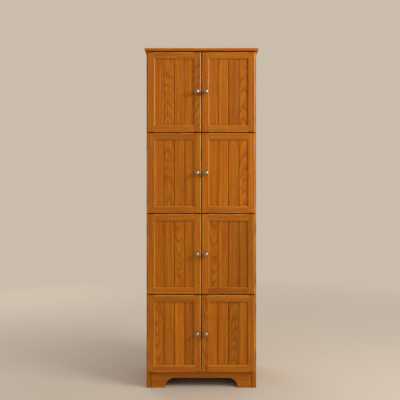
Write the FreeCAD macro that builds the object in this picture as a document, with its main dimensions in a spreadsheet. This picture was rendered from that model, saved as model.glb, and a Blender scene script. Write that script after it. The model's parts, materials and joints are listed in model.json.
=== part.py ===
import FreeCAD, Part
import math
import os

import Sketcher
from FreeCAD import Placement, Rotation, Vector

# Tall storage cabinet: an oak carcass of four tiers, each closed by a pair of planked doors.
# Millimetres, +Z up, doors facing -Y, origin on the floor under the middle of the cabinet's box.

SIZES = {
    # carcass
    "carcass_width": 592,
    "carcass_depth": 380,
    "side_thickness": 22,
    "shelf_thickness": 18,
    "back_thickness": 5,
    "back_rabbet": 10,
    "back_play": 0.5,
    "back_lift": 5,
    # heights of the tiers, from the floor up
    "door_lift": 92,
    "low_door_height": 412,
    "door_height": 430,
    "tier_gap": 5,
    "top_gap": 4,
    "bottom_shelf_lap": 8,
    # moulded top
    "cornice_thickness": 15,
    "cornice_side_overhang": 8,
    "cornice_front_overhang": 8,
    "cornice_round": 2.5,
    "cornice_cove": 3,
    # arched apron between the feet
    "apron_thickness": 18,
    "apron_setback": 2,
    "apron_gap": 3,
    "apron_foot": 75,
    "arch_radius": 50,
    "arch_lip": 2.5,
    "block_size": 30,
    "block_height": 60,
    # rail for the wall fixings
    "wall_rail_height": 70,
    "wall_rail_thickness": 18,
    "wall_hole_diameter": 6,
    "wall_hole_spacing": 400,
    # adjustable shelves and their pegs
    "loose_shelf_thickness": 18,
    "loose_shelf_setback": 25,
    "loose_shelf_side_play": 0.8,
    "loose_shelf_back_play": 3,
    "peg_diameter": 5,
    "peg_depth": 9,
    "peg_collar_diameter": 8,
    "peg_collar_thickness": 1.2,
    "peg_stub": 10,
    "peg_inset": 50,
    "peg_pitch": 32,
    "seat_play": 0.1,
    # doors
    "pair_gap": 4,
    "stile_width": 40,
    "rail_width": 37,
    "door_edge_round": 5.5,
    "panel_step": 1.2,
    "panel_groove_depth": 10,
    "panel_edge_room": 1,
    "panel_play": 0.15,
    "panel_back_lip": 4,
    "plank_thickness": 9,
    "plank_bevel": 2.5,
    "plank_gap": 0.3,
    "tongue_cheek": 0.7,
    "tongue_thickness": 3,
    "tongue_length": 5,
    "tongue_play": 0.15,
    # knobs
    "knob_diameter": 28,
    "knob_projection": 26,
    "knob_to_groove": 8,
    "knob_base_diameter": 15,
    "knob_base_thickness": 2,
    "knob_neck_diameter": 10,
    "knob_neck_length": 9,
    "knob_dome_height": 9,
    "knob_flare_radius": 12,
    "knob_rim_round": 1.2,
    "knob_bolt_diameter": 4,
    "knob_bolt_head_diameter": 8,
    "knob_bolt_head_thickness": 2.4,
    "knob_bolt_reach": 12,
    # hinges
    "hinge_arm": 11.7,
    "hinge_end_distance": 79,
    "barrel_diameter": 7,
    "hinge_pin_diameter": 3.6,
    "hinge_pin_play": 0.05,
    "hinge_play": 0.3,
    "leaf_thickness": 1.6,
    "frame_leaf_width": 17.8,
    "door_leaf_width": 13,
    "door_leaf_height": 21,
    "leaf_window_room": 1,
    "hinge_screw_offset": 9.5,
    # magnetic catches and their strikes
    "catch_wall": 3,
    "catch_back_wall": 4,
    "catch_floor": 2,
    "catch_ear": 10,
    "catch_flange_thickness": 3,
    "catch_play": 0.3,
    "magnet_width": 12,
    "magnet_height": 9,
    "magnet_length": 12,
    "magnet_proud": 1,
    "magnet_spacing": 22,
    "magnet_play": 0.1,
    "strike_width": 16,
    "strike_height": 11,
    "strike_thickness": 1.4,
    # fasteners
    "screw_diameter": 3,
    "screw_head_diameter": 5.6,
    "screw_length": 14,
    "top_screw_diameter": 4,
    "top_screw_head_diameter": 7.6,
    "top_screw_bite": 12,
    "top_screw_inset": 90,
    "back_screw_spacing": 180,
    "dowel_diameter": 8,
    "dowel_length": 30,
    "dowel_in_side": 12,
    "dowel_in_shelf": 13,
    "dowel_inset": 60,
    "bore_play": 0.1,
    "bore_room": 1,
}

# Planks in each panel, and peg holes in each column of a tier
PLANKS = 4
PEG_ROWS = 5

# Places and spans that follow from the sizes, worked out in a second sheet.
PLACES = {
    "half_width": "sizes.carcass_width / 2",
    "inner_width": "sizes.carcass_width - 2 * sizes.side_thickness",
    "half_inner": "places.inner_width / 2",
    # depth, from the wall to the knobs
    "door_standoff": "sizes.leaf_thickness + sizes.hinge_play",
    "door_lip": "sizes.door_edge_round + sizes.panel_step",
    "panel_groove_width": "sizes.plank_thickness + 2 * sizes.panel_play",
    "door_thickness": "places.door_lip + places.panel_groove_width + sizes.panel_back_lip",
    "door_reach": "places.door_standoff + places.door_thickness",
    "total_depth": "sizes.carcass_depth + places.door_reach + sizes.knob_projection",
    "back_y": "places.total_depth / 2",
    "front_y": "places.back_y - sizes.carcass_depth",
    "inner_back_y": "places.back_y - sizes.back_thickness",
    "shelf_depth": "sizes.carcass_depth - sizes.back_thickness",
    "door_back_y": "places.front_y - places.door_standoff",
    "door_front_y": "places.door_back_y - places.door_thickness",
    # height
    "bottom_shelf_z": "sizes.door_lift + sizes.bottom_shelf_lap - sizes.shelf_thickness",
    "lower_gap_z": "sizes.door_lift + sizes.low_door_height + sizes.tier_gap / 2",
    "tier_pitch": "sizes.door_height + sizes.tier_gap",
    "middle_gap_z": "places.lower_gap_z + places.tier_pitch",
    "upper_gap_z": "places.middle_gap_z + places.tier_pitch",
    "side_height": "places.upper_gap_z + places.tier_pitch - sizes.tier_gap / 2 + sizes.top_gap",
    "lower_shelf_z": "places.lower_gap_z - sizes.shelf_thickness / 2",
    "middle_shelf_z": "places.middle_gap_z - sizes.shelf_thickness / 2",
    "upper_shelf_z": "places.upper_gap_z - sizes.shelf_thickness / 2",
    "carcass_top_z": "places.side_height - sizes.shelf_thickness",
    "bottom_door_z": "sizes.door_lift + sizes.low_door_height / 2",
    "lower_door_z": "places.lower_gap_z + places.tier_pitch / 2",
    "upper_door_z": "places.middle_gap_z + places.tier_pitch / 2",
    "top_door_z": "places.upper_gap_z + places.tier_pitch / 2",
    # hinge line and the doors that hang on it
    "barrel_radius": "sizes.barrel_diameter / 2",
    "axis_x": "places.half_width - places.barrel_radius",
    "axis_y": "places.front_y - places.barrel_radius - sizes.hinge_play",
    "door_outer_x": "places.axis_x - places.barrel_radius - sizes.hinge_play",
    "door_width": "places.door_outer_x - sizes.pair_gap / 2",
    "door_centre_x": "(places.door_outer_x + sizes.pair_gap / 2) / 2",
    "opening_width": "places.door_width - 2 * sizes.stile_width",
    "panel_hold": "sizes.panel_groove_depth - sizes.panel_edge_room",
    "plank_pitch": f"(places.opening_width + 2 * places.panel_hold) / {PLANKS}",
    "knob_inset": "sizes.stile_width - sizes.panel_groove_depth - sizes.knob_to_groove",
    "knob_x": "places.door_width / 2 - places.knob_inset",
    "hinge_window_half": "sizes.door_leaf_height / 2 + sizes.hinge_play",
    "hinge_height": "2 * (places.hinge_window_half + sizes.hinge_arm)",
    "hinge_x": "places.axis_x - places.door_centre_x",
    # catches and the screws in the top
    "catch_width": "sizes.magnet_spacing + sizes.magnet_width + 2 * sizes.catch_wall",
    "catch_depth": "sizes.magnet_length - sizes.magnet_proud + sizes.catch_back_wall",
    "catch_height": "sizes.magnet_height + 2 * sizes.catch_floor",
    "catch_flange_width": "places.catch_width + 2 * sizes.catch_ear",
    "catch_screw_spacing": "places.catch_width + sizes.catch_ear",
    "top_screw_length": "sizes.shelf_thickness + sizes.top_screw_bite",
    "strike_back_y": "places.door_back_y + sizes.strike_thickness",
    "magnet_y": "places.strike_back_y + sizes.catch_play",
    "catch_y": "places.magnet_y + sizes.magnet_proud",
}

ALONG_X = Rotation(Vector(0, 1, 0), 90)
ALONG_Y = Rotation(Vector(1, 0, 0), -90)
UPRIGHT = Rotation()
TURNED_BACK = Rotation(Vector(0, 0, 1), 180)
POINTING_UP = Rotation(Vector(1, 0, 0), 90)
OTHER_HAND = Rotation(Vector(0, 1, 0), 180)
STANDING = Rotation(Vector(0, 1, 0), -90)

doc = FreeCAD.newDocument("tall_storage_cabinet")
nodes = {}


def fill_sheet(name, cells):
    """Spreadsheet with one aliased cell for each entry."""
    sheet = doc.addObject("Spreadsheet::Sheet", name)
    for row, (alias, content) in enumerate(cells.items(), start=1):
        sheet.set(f"A{row}", alias)
        sheet.set(f"B{row}", content)
        sheet.setAlias(f"B{row}", alias)
    doc.recompute()
    return sheet


sizes = fill_sheet("sizes", {alias: str(size) for alias, size in SIZES.items()})
places = fill_sheet("places", {alias: f"={formula}" for alias, formula in PLACES.items()})


def value(expression):
    """Number that an expression on the two sheets comes to."""
    return float(sizes.evalExpression(expression))


def place(item, x="0", y="0", z="0", turn=UPRIGHT):
    """Put an object at a bound place with a fixed turn."""
    item.Placement = Placement(Vector(value(x), value(y), value(z)), turn)
    for axis, expression in (("x", x), ("y", y), ("z", z)):
        if expression != "0":
            item.setExpression(f"Placement.Base.{axis}", expression)
    return item


def box(name, size, corner):
    """Board with bound length, width and height, from its lowest corner."""
    item = doc.addObject("Part::Box", name)
    for side, expression in zip(("Length", "Width", "Height"), size):
        item.setExpression(side, expression)
    return place(item, *corner)


def cylinder(name, radius, length, start=("0", "0", "0"), turn=UPRIGHT):
    """Round bar or bore with a bound radius and length."""
    item = doc.addObject("Part::Cylinder", name)
    item.setExpression("Radius", radius)
    item.setExpression("Height", length)
    return place(item, *start, turn)


def link(name, source, at=("0", "0", "0"), turn=UPRIGHT):
    """Copy of a shape that was made at the origin, put in a place of its own."""
    item = doc.addObject("App::Link", name)
    item.LinkedObject = source
    return place(item, *at, turn)


def group(name, members):
    """Several separate solids under one name."""
    item = doc.addObject("Part::Compound", name)
    item.Links = members
    return item


def fuse(name, members):
    """One solid out of overlapping ones."""
    item = doc.addObject("Part::MultiFuse", name)
    item.Shapes = members
    return item


def cut(name, base, tool):
    """First shape less the second."""
    item = doc.addObject("Part::Cut", name)
    item.Base = base
    item.Tool = tool
    return item


def common(name, base, tool):
    """What two shapes share."""
    item = doc.addObject("Part::Common", name)
    item.Base = base
    item.Tool = tool
    return item


def mirrored(name, source, normal):
    """Mirror image through the origin."""
    item = doc.addObject("Part::Mirroring", name)
    item.Source = source
    item.Normal = normal
    return item


def node(label, item):
    """Name a finished sub-part."""
    item.Label = label
    nodes[label] = item
    return item


def arc_between(start, end, radius, side):
    """Minor arc from start to end; its centre is left of the way for side 1 and right for side -1."""
    half = (end - start) * 0.5
    rise = math.sqrt(max(radius ** 2 - half.Length ** 2, 0))
    normal = Vector(-half.y, half.x, 0).normalize() * side
    centre = start + half + normal * rise
    first, last = (start, end) if side > 0 else (end, start)
    angles = [math.atan2(point.y - centre.y, point.x - centre.x) for point in (first, last)]
    return Part.ArcOfCircle(Part.Circle(centre, Vector(0, 0, 1), radius), *angles)


def outline(body, plane, corners):
    """Closed sketch on one of a body's own planes.

    Each corner is a pair of expressions. A third entry makes the run to the next corner an arc:
    a pair of its radius and the side of its centre.
    """
    sketch = body.newObject("Sketcher::SketchObject", f"{body.Name}_outline")
    support = [item for item in body.Origin.OriginFeatures if item.Role == plane][0]
    sketch.AttachmentSupport = (support, [""])
    sketch.MapMode = "FlatFace"
    points = [Vector(value(corner[0]), value(corner[1]), 0) for corner in corners]
    ends = []
    for index, corner in enumerate(corners):
        start, end = points[index], points[(index + 1) % len(points)]
        if len(corner) == 3:
            radius, side = corner[2]
            run = sketch.addGeometry(arc_between(start, end, value(radius), side))
            bend = sketch.addConstraint(Sketcher.Constraint("Radius", run, value(radius)))
            sketch.setExpression(f"Constraints[{bend}]", radius)
            ends.append((1, 2) if side > 0 else (2, 1))
        else:
            run = sketch.addGeometry(Part.LineSegment(start, end))
            ends.append((1, 2))
    for index, corner in enumerate(corners):
        after = (index + 1) % len(corners)
        meeting = (index, ends[index][1], after, ends[after][0])
        sketch.addConstraint(Sketcher.Constraint("Coincident", *meeting))
        for kind, axis, expression in (("DistanceX", -2, corner[0]), ("DistanceY", -1, corner[1])):
            spot = (index, ends[index][0])
            if expression == "0":
                sketch.addConstraint(Sketcher.Constraint("PointOnObject", *spot, axis))
                continue
            span = sketch.addConstraint(Sketcher.Constraint(kind, -1, 1, *spot, value(expression)))
            sketch.setExpression(f"Constraints[{span}]", expression)
    return sketch


def pad(name, plane, corners, length):
    """Body that pushes an outline along its plane's normal."""
    body = doc.addObject("PartDesign::Body", name)
    sketch = outline(body, plane, corners)
    push = body.newObject("PartDesign::Pad", f"{name}_pad")
    push.Profile = sketch
    push.setExpression("Length", length)
    doc.recompute()
    return body


def round_edges(body, radius, wanted):
    """Fillet the edges of a body whose middles pass a test."""
    base = body.Tip
    chosen = [
        f"Edge{index}"
        for index, edge in enumerate(base.Shape.Edges, start=1)
        if wanted(edge.CenterOfMass)
    ]
    rounding = body.newObject("PartDesign::Fillet", f"{body.Name}_round")
    rounding.Base = (base, chosen)
    rounding.setExpression("Radius", radius)
    doc.recompute()
    return body


def near(first, second):
    """Whether two coordinates are the same place."""
    return abs(first - second) < 1e-4


# Fasteners, each modelled once, and the bores that they sit in


def countersunk(name, diameter, head, length, play="0"):
    """Flat-headed screw along +Y with its head's face at y = 0, or the bore that it sits in."""
    shank = f"({diameter} / 2 + {play})"
    crown = f"({head} / 2 + {play})"
    depth = f"({head} - {diameter}) / 2"
    cone = doc.addObject("Part::Cone", f"{name}_head")
    cone.setExpression("Radius1", crown)
    cone.setExpression("Radius2", shank)
    cone.setExpression("Height", depth)
    place(cone, turn=ALONG_Y)
    body = cylinder(f"{name}_shank", shank, f"{length} + {play}", turn=ALONG_Y)
    return fuse(name, [cone, body])


SCREW = ("sizes.screw_diameter", "sizes.screw_head_diameter", "sizes.screw_length")
TOP_SCREW = ("sizes.top_screw_diameter", "sizes.top_screw_head_diameter", "places.top_screw_length")
screw = countersunk("screw", *SCREW)
screw_bore = countersunk("screw_bore", *SCREW, "sizes.bore_play")
top_screw = countersunk("top_screw", *TOP_SCREW)
top_screw_bore = countersunk("top_screw_bore", *TOP_SCREW, "sizes.bore_play")
dowel_bar = cylinder("dowel_bar", "sizes.dowel_diameter / 2", "sizes.dowel_length", turn=ALONG_X)
dowel = group("dowel", [dowel_bar])
dowel_bore_bar = cylinder(
    "dowel_bore_bar",
    "sizes.dowel_diameter / 2 + sizes.bore_play",
    "sizes.dowel_length + sizes.bore_room",
    turn=ALONG_X,
)
dowel_bore = group("dowel_bore", [dowel_bore_bar])

carcass_screws = []
carcass_screw_bores = []
dowels = []
dowel_bores = []


def drive(kind, bore, at, turn):
    """Drive one carcass screw and keep its bore for the boards that it passes through."""
    count = len(carcass_screws) + 1
    carcass_screws.append(link(f"carcass_screw_{count}", kind, at, turn))
    carcass_screw_bores.append(link(f"carcass_screw_bore_{count}", bore, at, turn))


def dowel_joint(start, bore_start, turn):
    """Set one dowel and keep its bore for the two boards that it joins."""
    count = len(dowels) + 1
    dowels.append(link(f"dowel_{count}", dowel, start, turn))
    dowel_bores.append(link(f"dowel_bore_{count}", dowel_bore, bore_start, turn))


LOW, TALL = "sizes.low_door_height", "sizes.door_height"

# Tiers from the bottom up: name, door centre, door height, underside of the board above, floor board
TIERS = (
    ("bottom", "places.bottom_door_z", LOW, "places.lower_shelf_z", "places.bottom_shelf_z"),
    ("lower", "places.lower_door_z", TALL, "places.middle_shelf_z", "places.lower_shelf_z"),
    ("upper", "places.upper_door_z", TALL, "places.upper_shelf_z", "places.middle_shelf_z"),
    ("top", "places.top_door_z", TALL, "places.carcass_top_z", "places.upper_shelf_z"),
)

FIXED_BOARDS = (
    ("bottom_shelf", "places.bottom_shelf_z"),
    ("lower_fixed_shelf", "places.lower_shelf_z"),
    ("middle_fixed_shelf", "places.middle_shelf_z"),
    ("upper_fixed_shelf", "places.upper_shelf_z"),
    ("carcass_top", "places.carcass_top_z"),
)


# Hinge, about its pin's axis at the origin: +X runs in over the side's edge, +Y towards the carcass


def hinge_masters():
    """Leaf on the carcass, leaf on the door, pin, and the screws and bores of each leaf."""
    radius = "places.barrel_radius"
    pin_radius = "sizes.hinge_pin_diameter / 2"
    tall = "places.hinge_height"
    foot = ("0", "0", f"-{tall} / 2")
    bore = cylinder("hinge_bore", f"{pin_radius} + sizes.hinge_pin_play", tall, foot)
    pin = group("hinge_pin", [cylinder("hinge_pin_bar", pin_radius, tall, foot)])
    window_half = "places.hinge_window_half"
    frame_face = f"{radius} + sizes.hinge_play - sizes.leaf_thickness"
    plate = box(
        "frame_leaf_plate",
        ("sizes.frame_leaf_width", "sizes.leaf_thickness", tall),
        ("0", frame_face, f"-{tall} / 2"),
    )
    barrel = cylinder("frame_leaf_barrel", radius, tall, foot)
    window = box(
        "frame_leaf_window",
        (
            f"{radius} + sizes.hinge_play + sizes.door_leaf_width + sizes.leaf_window_room",
            "2 * sizes.barrel_diameter",
            f"2 * {window_half}",
        ),
        (f"-{radius} - sizes.hinge_play", "-sizes.barrel_diameter", f"-{window_half}"),
    )
    arm_z = f"({window_half} + sizes.hinge_arm / 2)"
    frame_spots = [("sizes.hinge_screw_offset", frame_face, f"{sign} * {arm_z}") for sign in ("1", "-1")]
    frame_bores = [
        link(f"frame_leaf_bore_{count}", screw_bore, spot)
        for count, spot in enumerate(frame_spots, start=1)
    ]
    frame_leaf = cut(
        "frame_leaf",
        fuse("frame_leaf_blank", [plate, barrel]),
        group("frame_leaf_openings", [window, bore, *frame_bores]),
    )

    tongue = box(
        "door_leaf_plate",
        ("sizes.door_leaf_width", "sizes.leaf_thickness", "sizes.door_leaf_height"),
        ("0", f"{radius} - sizes.leaf_thickness", "-sizes.door_leaf_height / 2"),
    )
    knuckle = cylinder(
        "door_leaf_knuckle", radius, "sizes.door_leaf_height", ("0", "0", "-sizes.door_leaf_height / 2")
    )
    door_spots = [
        ("sizes.hinge_screw_offset", radius, f"{sign} * sizes.door_leaf_height / 4") for sign in ("1", "-1")
    ]
    door_screws = [
        link(f"door_leaf_screw_{count}", screw, spot, TURNED_BACK)
        for count, spot in enumerate(door_spots, start=1)
    ]
    door_bores = [
        link(f"door_leaf_bore_{count}", screw_bore, spot, TURNED_BACK)
        for count, spot in enumerate(door_spots, start=1)
    ]
    door_leaf = cut(
        "door_leaf",
        fuse("door_leaf_blank", [tongue, knuckle]),
        group("door_leaf_openings", [bore, *door_bores]),
    )
    door_half = group("door_half_hinge", [door_leaf, *door_screws])
    return frame_leaf, pin, frame_spots, door_half, group("door_hinge_bores", door_bores)


frame_leaf, hinge_pin, frame_screw_spots, door_half_hinge, door_hinge_bores = hinge_masters()


# Door, about its centre: y = 0 is its face, the hinge side is at -X


def door_masters(kind, height):
    """Frame, planked panel and hinge halves of a left-hand door of one height."""
    width = "places.door_width"
    lip, groove = "places.door_lip", "places.panel_groove_width"
    depth = "sizes.panel_groove_depth"
    back = "places.door_thickness"
    half_height = f"{height} / 2"

    envelope = pad(
        f"{kind}_envelope", "XY_Plane", [("0", "0"), (width, "0"), (width, back), ("0", back)], height
    )
    round_edges(envelope, "sizes.door_edge_round", lambda point: near(point.y, 0))
    place(envelope, f"-{width} / 2", "0", f"-{half_height}")

    stile_width = "sizes.stile_width"
    stile = pad(
        f"{kind}_stile",
        "XY_Plane",
        [
            ("0", "0"),
            (stile_width, "0"),
            (stile_width, lip),
            (f"{stile_width} - {depth}", lip),
            (f"{stile_width} - {depth}", f"{lip} + {groove}"),
            (stile_width, f"{lip} + {groove}"),
            (stile_width, back),
            ("0", back),
        ],
        height,
    )
    inner = value(stile_width)
    round_edges(stile, "sizes.door_edge_round", lambda point: near(point.y, 0) and near(point.x, inner))
    place(stile, f"-{width} / 2", "0", f"-{half_height}")
    far_stile = mirrored(f"{kind}_far_stile", stile, Vector(1, 0, 0))
    stiles = group(f"{kind}_stiles", [stile, far_stile])

    rail_width = "sizes.rail_width"
    rail = pad(
        f"{kind}_rail",
        "YZ_Plane",
        [
            ("0", "0"),
            (lip, "0"),
            (lip, depth),
            (f"{lip} + {groove}", depth),
            (f"{lip} + {groove}", "0"),
            (back, "0"),
            (back, rail_width),
            ("0", rail_width),
        ],
        f"places.opening_width + 2 * {depth}",
    )
    round_edges(rail, "sizes.door_edge_round", lambda point: near(point.y, 0) and near(point.z, 0))
    place(rail, f"-places.opening_width / 2 - {depth}", "0", f"{half_height} - {rail_width}")
    top_rail = common(f"{kind}_top_rail", cut(f"{kind}_coped_rail", rail, stiles), envelope)
    bottom_rail = mirrored(f"{kind}_bottom_rail", top_rail, Vector(0, 0, 1))

    hinge_z = f"({half_height} - sizes.hinge_end_distance)"
    hinge_at = [
        ("-places.hinge_x", "places.axis_y - places.door_front_y", f"{sign} * {hinge_z}")
        for sign in ("1", "-1")
    ]
    leaf_bores = [
        link(f"{kind}_leaf_bores_{count}", door_hinge_bores, spot)
        for count, spot in enumerate(hinge_at, start=1)
    ]
    hinge_stile = cut(
        f"{kind}_hinge_stile",
        common(f"{kind}_hinge_stile_blank", stile, envelope),
        group(f"{kind}_hinge_stile_bores", leaf_bores),
    )
    knob_bore = cylinder(
        f"{kind}_knob_bore",
        "sizes.knob_bolt_diameter / 2 + sizes.bore_play",
        back,
        ("places.knob_x", "0", "0"),
        ALONG_Y,
    )
    knob_stile = cut(
        f"{kind}_knob_stile", common(f"{kind}_knob_stile_blank", far_stile, envelope), knob_bore
    )
    frame = group(f"{kind}_frame", [hinge_stile, knob_stile, top_rail, bottom_rail])

    panel = group(f"{kind}_panel", planks(kind, height))
    leaves = [
        link(f"{kind}_leaf_{count}", door_half_hinge, spot)
        for count, spot in enumerate(hinge_at, start=1)
    ]
    return frame, panel, group(f"{kind}_leaves", leaves)


def planks(kind, height):
    """Tongued and grooved planks, beveled where they meet."""
    right = "places.plank_pitch - sizes.plank_gap"
    bevel, thick = "sizes.plank_bevel", "sizes.plank_thickness"
    tongue_front = "(sizes.plank_bevel + sizes.tongue_cheek)"
    tongue_back = f"({tongue_front} + sizes.tongue_thickness)"
    tip = f"{right} + sizes.tongue_length"
    slot = "sizes.tongue_length + sizes.tongue_play"
    length = f"{height} - 2 * sizes.rail_width + 2 * places.panel_hold"

    plain_left = [("0", thick), ("0", "0")]
    grooved_left = [
        ("0", thick),
        ("0", f"{tongue_back} + sizes.tongue_play"),
        (slot, f"{tongue_back} + sizes.tongue_play"),
        (slot, f"{tongue_front} - sizes.tongue_play"),
        ("0", f"{tongue_front} - sizes.tongue_play"),
        ("0", bevel),
        (bevel, "0"),
    ]
    plain_right = [("places.plank_pitch", "0"), ("places.plank_pitch", thick)]
    tongued_right = [
        (f"{right} - {bevel}", "0"),
        (right, bevel),
        (right, tongue_front),
        (tip, tongue_front),
        (tip, tongue_back),
        (right, tongue_back),
        (right, thick),
    ]
    made = []
    for count in range(PLANKS):
        left_edge = grooved_left if count > 0 else plain_left
        right_edge = tongued_right if count < PLANKS - 1 else plain_right
        plank = pad(f"{kind}_plank_{count + 1}", "XY_Plane", left_edge + right_edge, length)
        place(
            plank,
            f"({count} - {PLANKS} / 2) * places.plank_pitch",
            "places.door_lip + sizes.panel_play",
            f"-({length}) / 2",
        )
        made.append(plank)
    return made


def knob_master():
    """Turned knob with its bolt, on the left-hand door's own frame."""
    base, neck = "sizes.knob_base_diameter / 2", "sizes.knob_neck_diameter / 2"
    rim = "sizes.knob_diameter / 2"
    reach, dome = "sizes.knob_projection", "sizes.knob_dome_height"
    dome_radius = f"(({rim}) ^ 2 + {dome} ^ 2) / (2 * {dome})"
    body = doc.addObject("PartDesign::Body", "knob_turning")
    sketch = outline(
        body,
        "XY_Plane",
        [
            ("0", "0"),
            ("0", f"-{reach}", (dome_radius, 1)),
            (rim, f"-({reach} - {dome})", ("sizes.knob_flare_radius", -1)),
            (neck, "-sizes.knob_neck_length"),
            (neck, "-2 * sizes.knob_base_thickness"),
            (base, "-sizes.knob_base_thickness"),
            (base, "0"),
        ],
    )
    turning = body.newObject("PartDesign::Revolution", "knob_revolution")
    turning.Profile = sketch
    turning.ReferenceAxis = (sketch, ["V_Axis"])
    turning.Angle = 360
    doc.recompute()
    rim_y = value(f"-({reach} - {dome})")
    round_edges(body, "sizes.knob_rim_round", lambda point: near(point.y, rim_y))
    thread = cylinder(
        "knob_thread",
        "sizes.knob_bolt_diameter / 2 + sizes.bore_play",
        "sizes.knob_bolt_reach + sizes.bore_room",
        ("0", "-sizes.knob_bolt_reach - sizes.bore_room", "0"),
        ALONG_Y,
    )
    turned = cut("knob_turned", body, thread)
    shank = cylinder(
        "knob_bolt_shank",
        "sizes.knob_bolt_diameter / 2",
        "sizes.knob_bolt_reach + places.door_thickness",
        ("0", "-sizes.knob_bolt_reach", "0"),
        ALONG_Y,
    )
    head = cylinder(
        "knob_bolt_head",
        "sizes.knob_bolt_head_diameter / 2",
        "sizes.knob_bolt_head_thickness",
        ("0", "places.door_thickness", "0"),
        ALONG_Y,
    )
    bolt = fuse("knob_bolt", [shank, head])
    return group("knob_and_bolt", [turned, bolt])


def strike_master():
    """Strike plate on the plane y = 0 of a door's back, with its screw."""
    plate = box(
        "strike_blank",
        ("sizes.strike_width", "sizes.strike_thickness", "sizes.strike_height"),
        ("-sizes.strike_width / 2", "0", "-sizes.strike_height / 2"),
    )
    at = ("0", "sizes.strike_thickness", "0")
    bore = link("strike_bore", screw_bore, at, TURNED_BACK)
    plate = cut("strike_drilled", plate, bore)
    return group("strike_and_screw", [plate, link("strike_screw", screw, at, TURNED_BACK)])


def build_doors():
    """The eight doors, a pair on each tier."""
    knob = knob_master()
    strike = strike_master()
    left = {LOW: door_masters("low_door", LOW), TALL: door_masters("tall_door", TALL)}
    right = {
        height: [mirrored(f"{item.Name}_right", item, Vector(1, 0, 0)) for item in masters]
        for height, masters in left.items()
    }
    for tier, centre, height, ceiling, _ in TIERS:
        for side, sign, masters in (("left", "-1", left), ("right", "1", right)):
            name = f"{tier}_{side}_door"
            at = (f"{sign} * places.door_centre_x", "places.door_front_y", centre)
            frame, panel, leaves = masters[height]
            strike_at = (
                f"{sign} * sizes.magnet_spacing / 2",
                "places.door_back_y",
                f"{ceiling} - places.catch_height / 2",
            )
            whole_frame = link(f"{name}_whole_frame", frame, at)
            screw_hole = link(
                f"{name}_strike_bore",
                screw_bore,
                (strike_at[0], "places.strike_back_y", strike_at[2]),
                TURNED_BACK,
            )
            knob_at = (f"{sign} * (sizes.pair_gap / 2 + places.knob_inset)", "places.door_front_y", centre)
            node(f"{name}_frame", cut(f"{name}_frame", whole_frame, screw_hole))
            node(f"{name}_panel", link(f"{name}_panel", panel, at))
            node(f"{name}_knob", link(f"{name}_knob", knob, knob_at))
            node(f"{name}_hinge_leaves", link(f"{name}_hinge_leaves", leaves, at))
            node(f"{name}_strike_plate", link(f"{name}_strike_plate", strike, strike_at))


def build_hinges():
    """The hinge leaves on the carcass, their pins, and their screws."""
    leaves, pins = [], []
    for tier, centre, height, _, _ in TIERS:
        for side, sign, turn in (("left", "-1", UPRIGHT), ("right", "1", OTHER_HAND)):
            for end in ("1", "-1"):
                name = f"{tier}_{side}_hinge_{'upper' if end == '1' else 'lower'}"
                z = f"({centre} + {end} * ({height} / 2 - sizes.hinge_end_distance))"
                at = (f"{sign} * places.axis_x", "places.axis_y", z)
                leaves.append(link(f"{name}_leaf", frame_leaf, at, turn))
                pins.append(link(f"{name}_pin", hinge_pin, at, turn))
                for x, y, rise in frame_screw_spots:
                    spot = (f"{sign} * (places.axis_x - {x})", f"places.axis_y + {y}", f"{z} + {rise}")
                    drive(screw, screw_bore, spot, UPRIGHT)
    node("hinge_frame_leaves", group("hinge_frame_leaves", leaves))
    node("hinge_pins", group("hinge_pins", pins))


def build_pegs():
    """Shelf pegs, the rows of holes that they fit, and the shelves that they carry."""
    radius = "sizes.peg_diameter / 2"
    stem = cylinder(
        "peg_stem",
        radius,
        "sizes.peg_depth + sizes.peg_collar_thickness + sizes.peg_stub",
        ("-sizes.peg_depth", "0", "0"),
        ALONG_X,
    )
    collar = cylinder(
        "peg_collar", "sizes.peg_collar_diameter / 2", "sizes.peg_collar_thickness", turn=ALONG_X
    )
    peg = fuse("peg", [stem, collar])
    hole_bar = cylinder(
        "peg_hole_bar",
        f"{radius} + sizes.bore_play",
        "sizes.peg_depth + sizes.bore_room",
        ("-sizes.peg_depth - sizes.bore_room", "0", "0"),
        ALONG_X,
    )
    hole = group("peg_hole", [hole_bar])
    columns = ("places.front_y + sizes.peg_inset", "places.inner_back_y - sizes.peg_inset")
    shelf_room = "(sizes.peg_collar_thickness + sizes.loose_shelf_side_play)"
    pegs, shelves = [], []
    holes = {"left": [], "right": []}
    for tier, _, _, ceiling, floor in TIERS:
        middle = f"({floor} + sizes.shelf_thickness + {ceiling}) / 2"
        for side, sign, turn in (("left", "-1", UPRIGHT), ("right", "1", OTHER_HAND)):
            wall = f"{sign} * places.half_inner"
            for column, y in enumerate(columns, start=1):
                pegs.append(link(f"{tier}_{side}_peg_{column}", peg, (wall, y, middle), turn))
                for row in range(PEG_ROWS):
                    at = (wall, y, f"{middle} + ({row} - {PEG_ROWS // 2}) * sizes.peg_pitch")
                    name = f"{tier}_{side}_hole_{column}_{row + 1}"
                    holes[side].append(link(name, hole, at, turn))
        shelves.append(
            box(
                f"{tier}_adjustable_shelf",
                (
                    f"places.inner_width - 2 * {shelf_room}",
                    "places.shelf_depth - sizes.loose_shelf_setback - sizes.loose_shelf_back_play",
                    "sizes.loose_shelf_thickness",
                ),
                (
                    f"-places.half_inner + {shelf_room}",
                    "places.front_y + sizes.loose_shelf_setback",
                    f"{middle} + {radius} + sizes.seat_play",
                ),
            )
        )
    node("shelf_pegs", group("shelf_pegs", pegs))
    node("adjustable_shelves", group("adjustable_shelves", shelves))
    return holes


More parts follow.
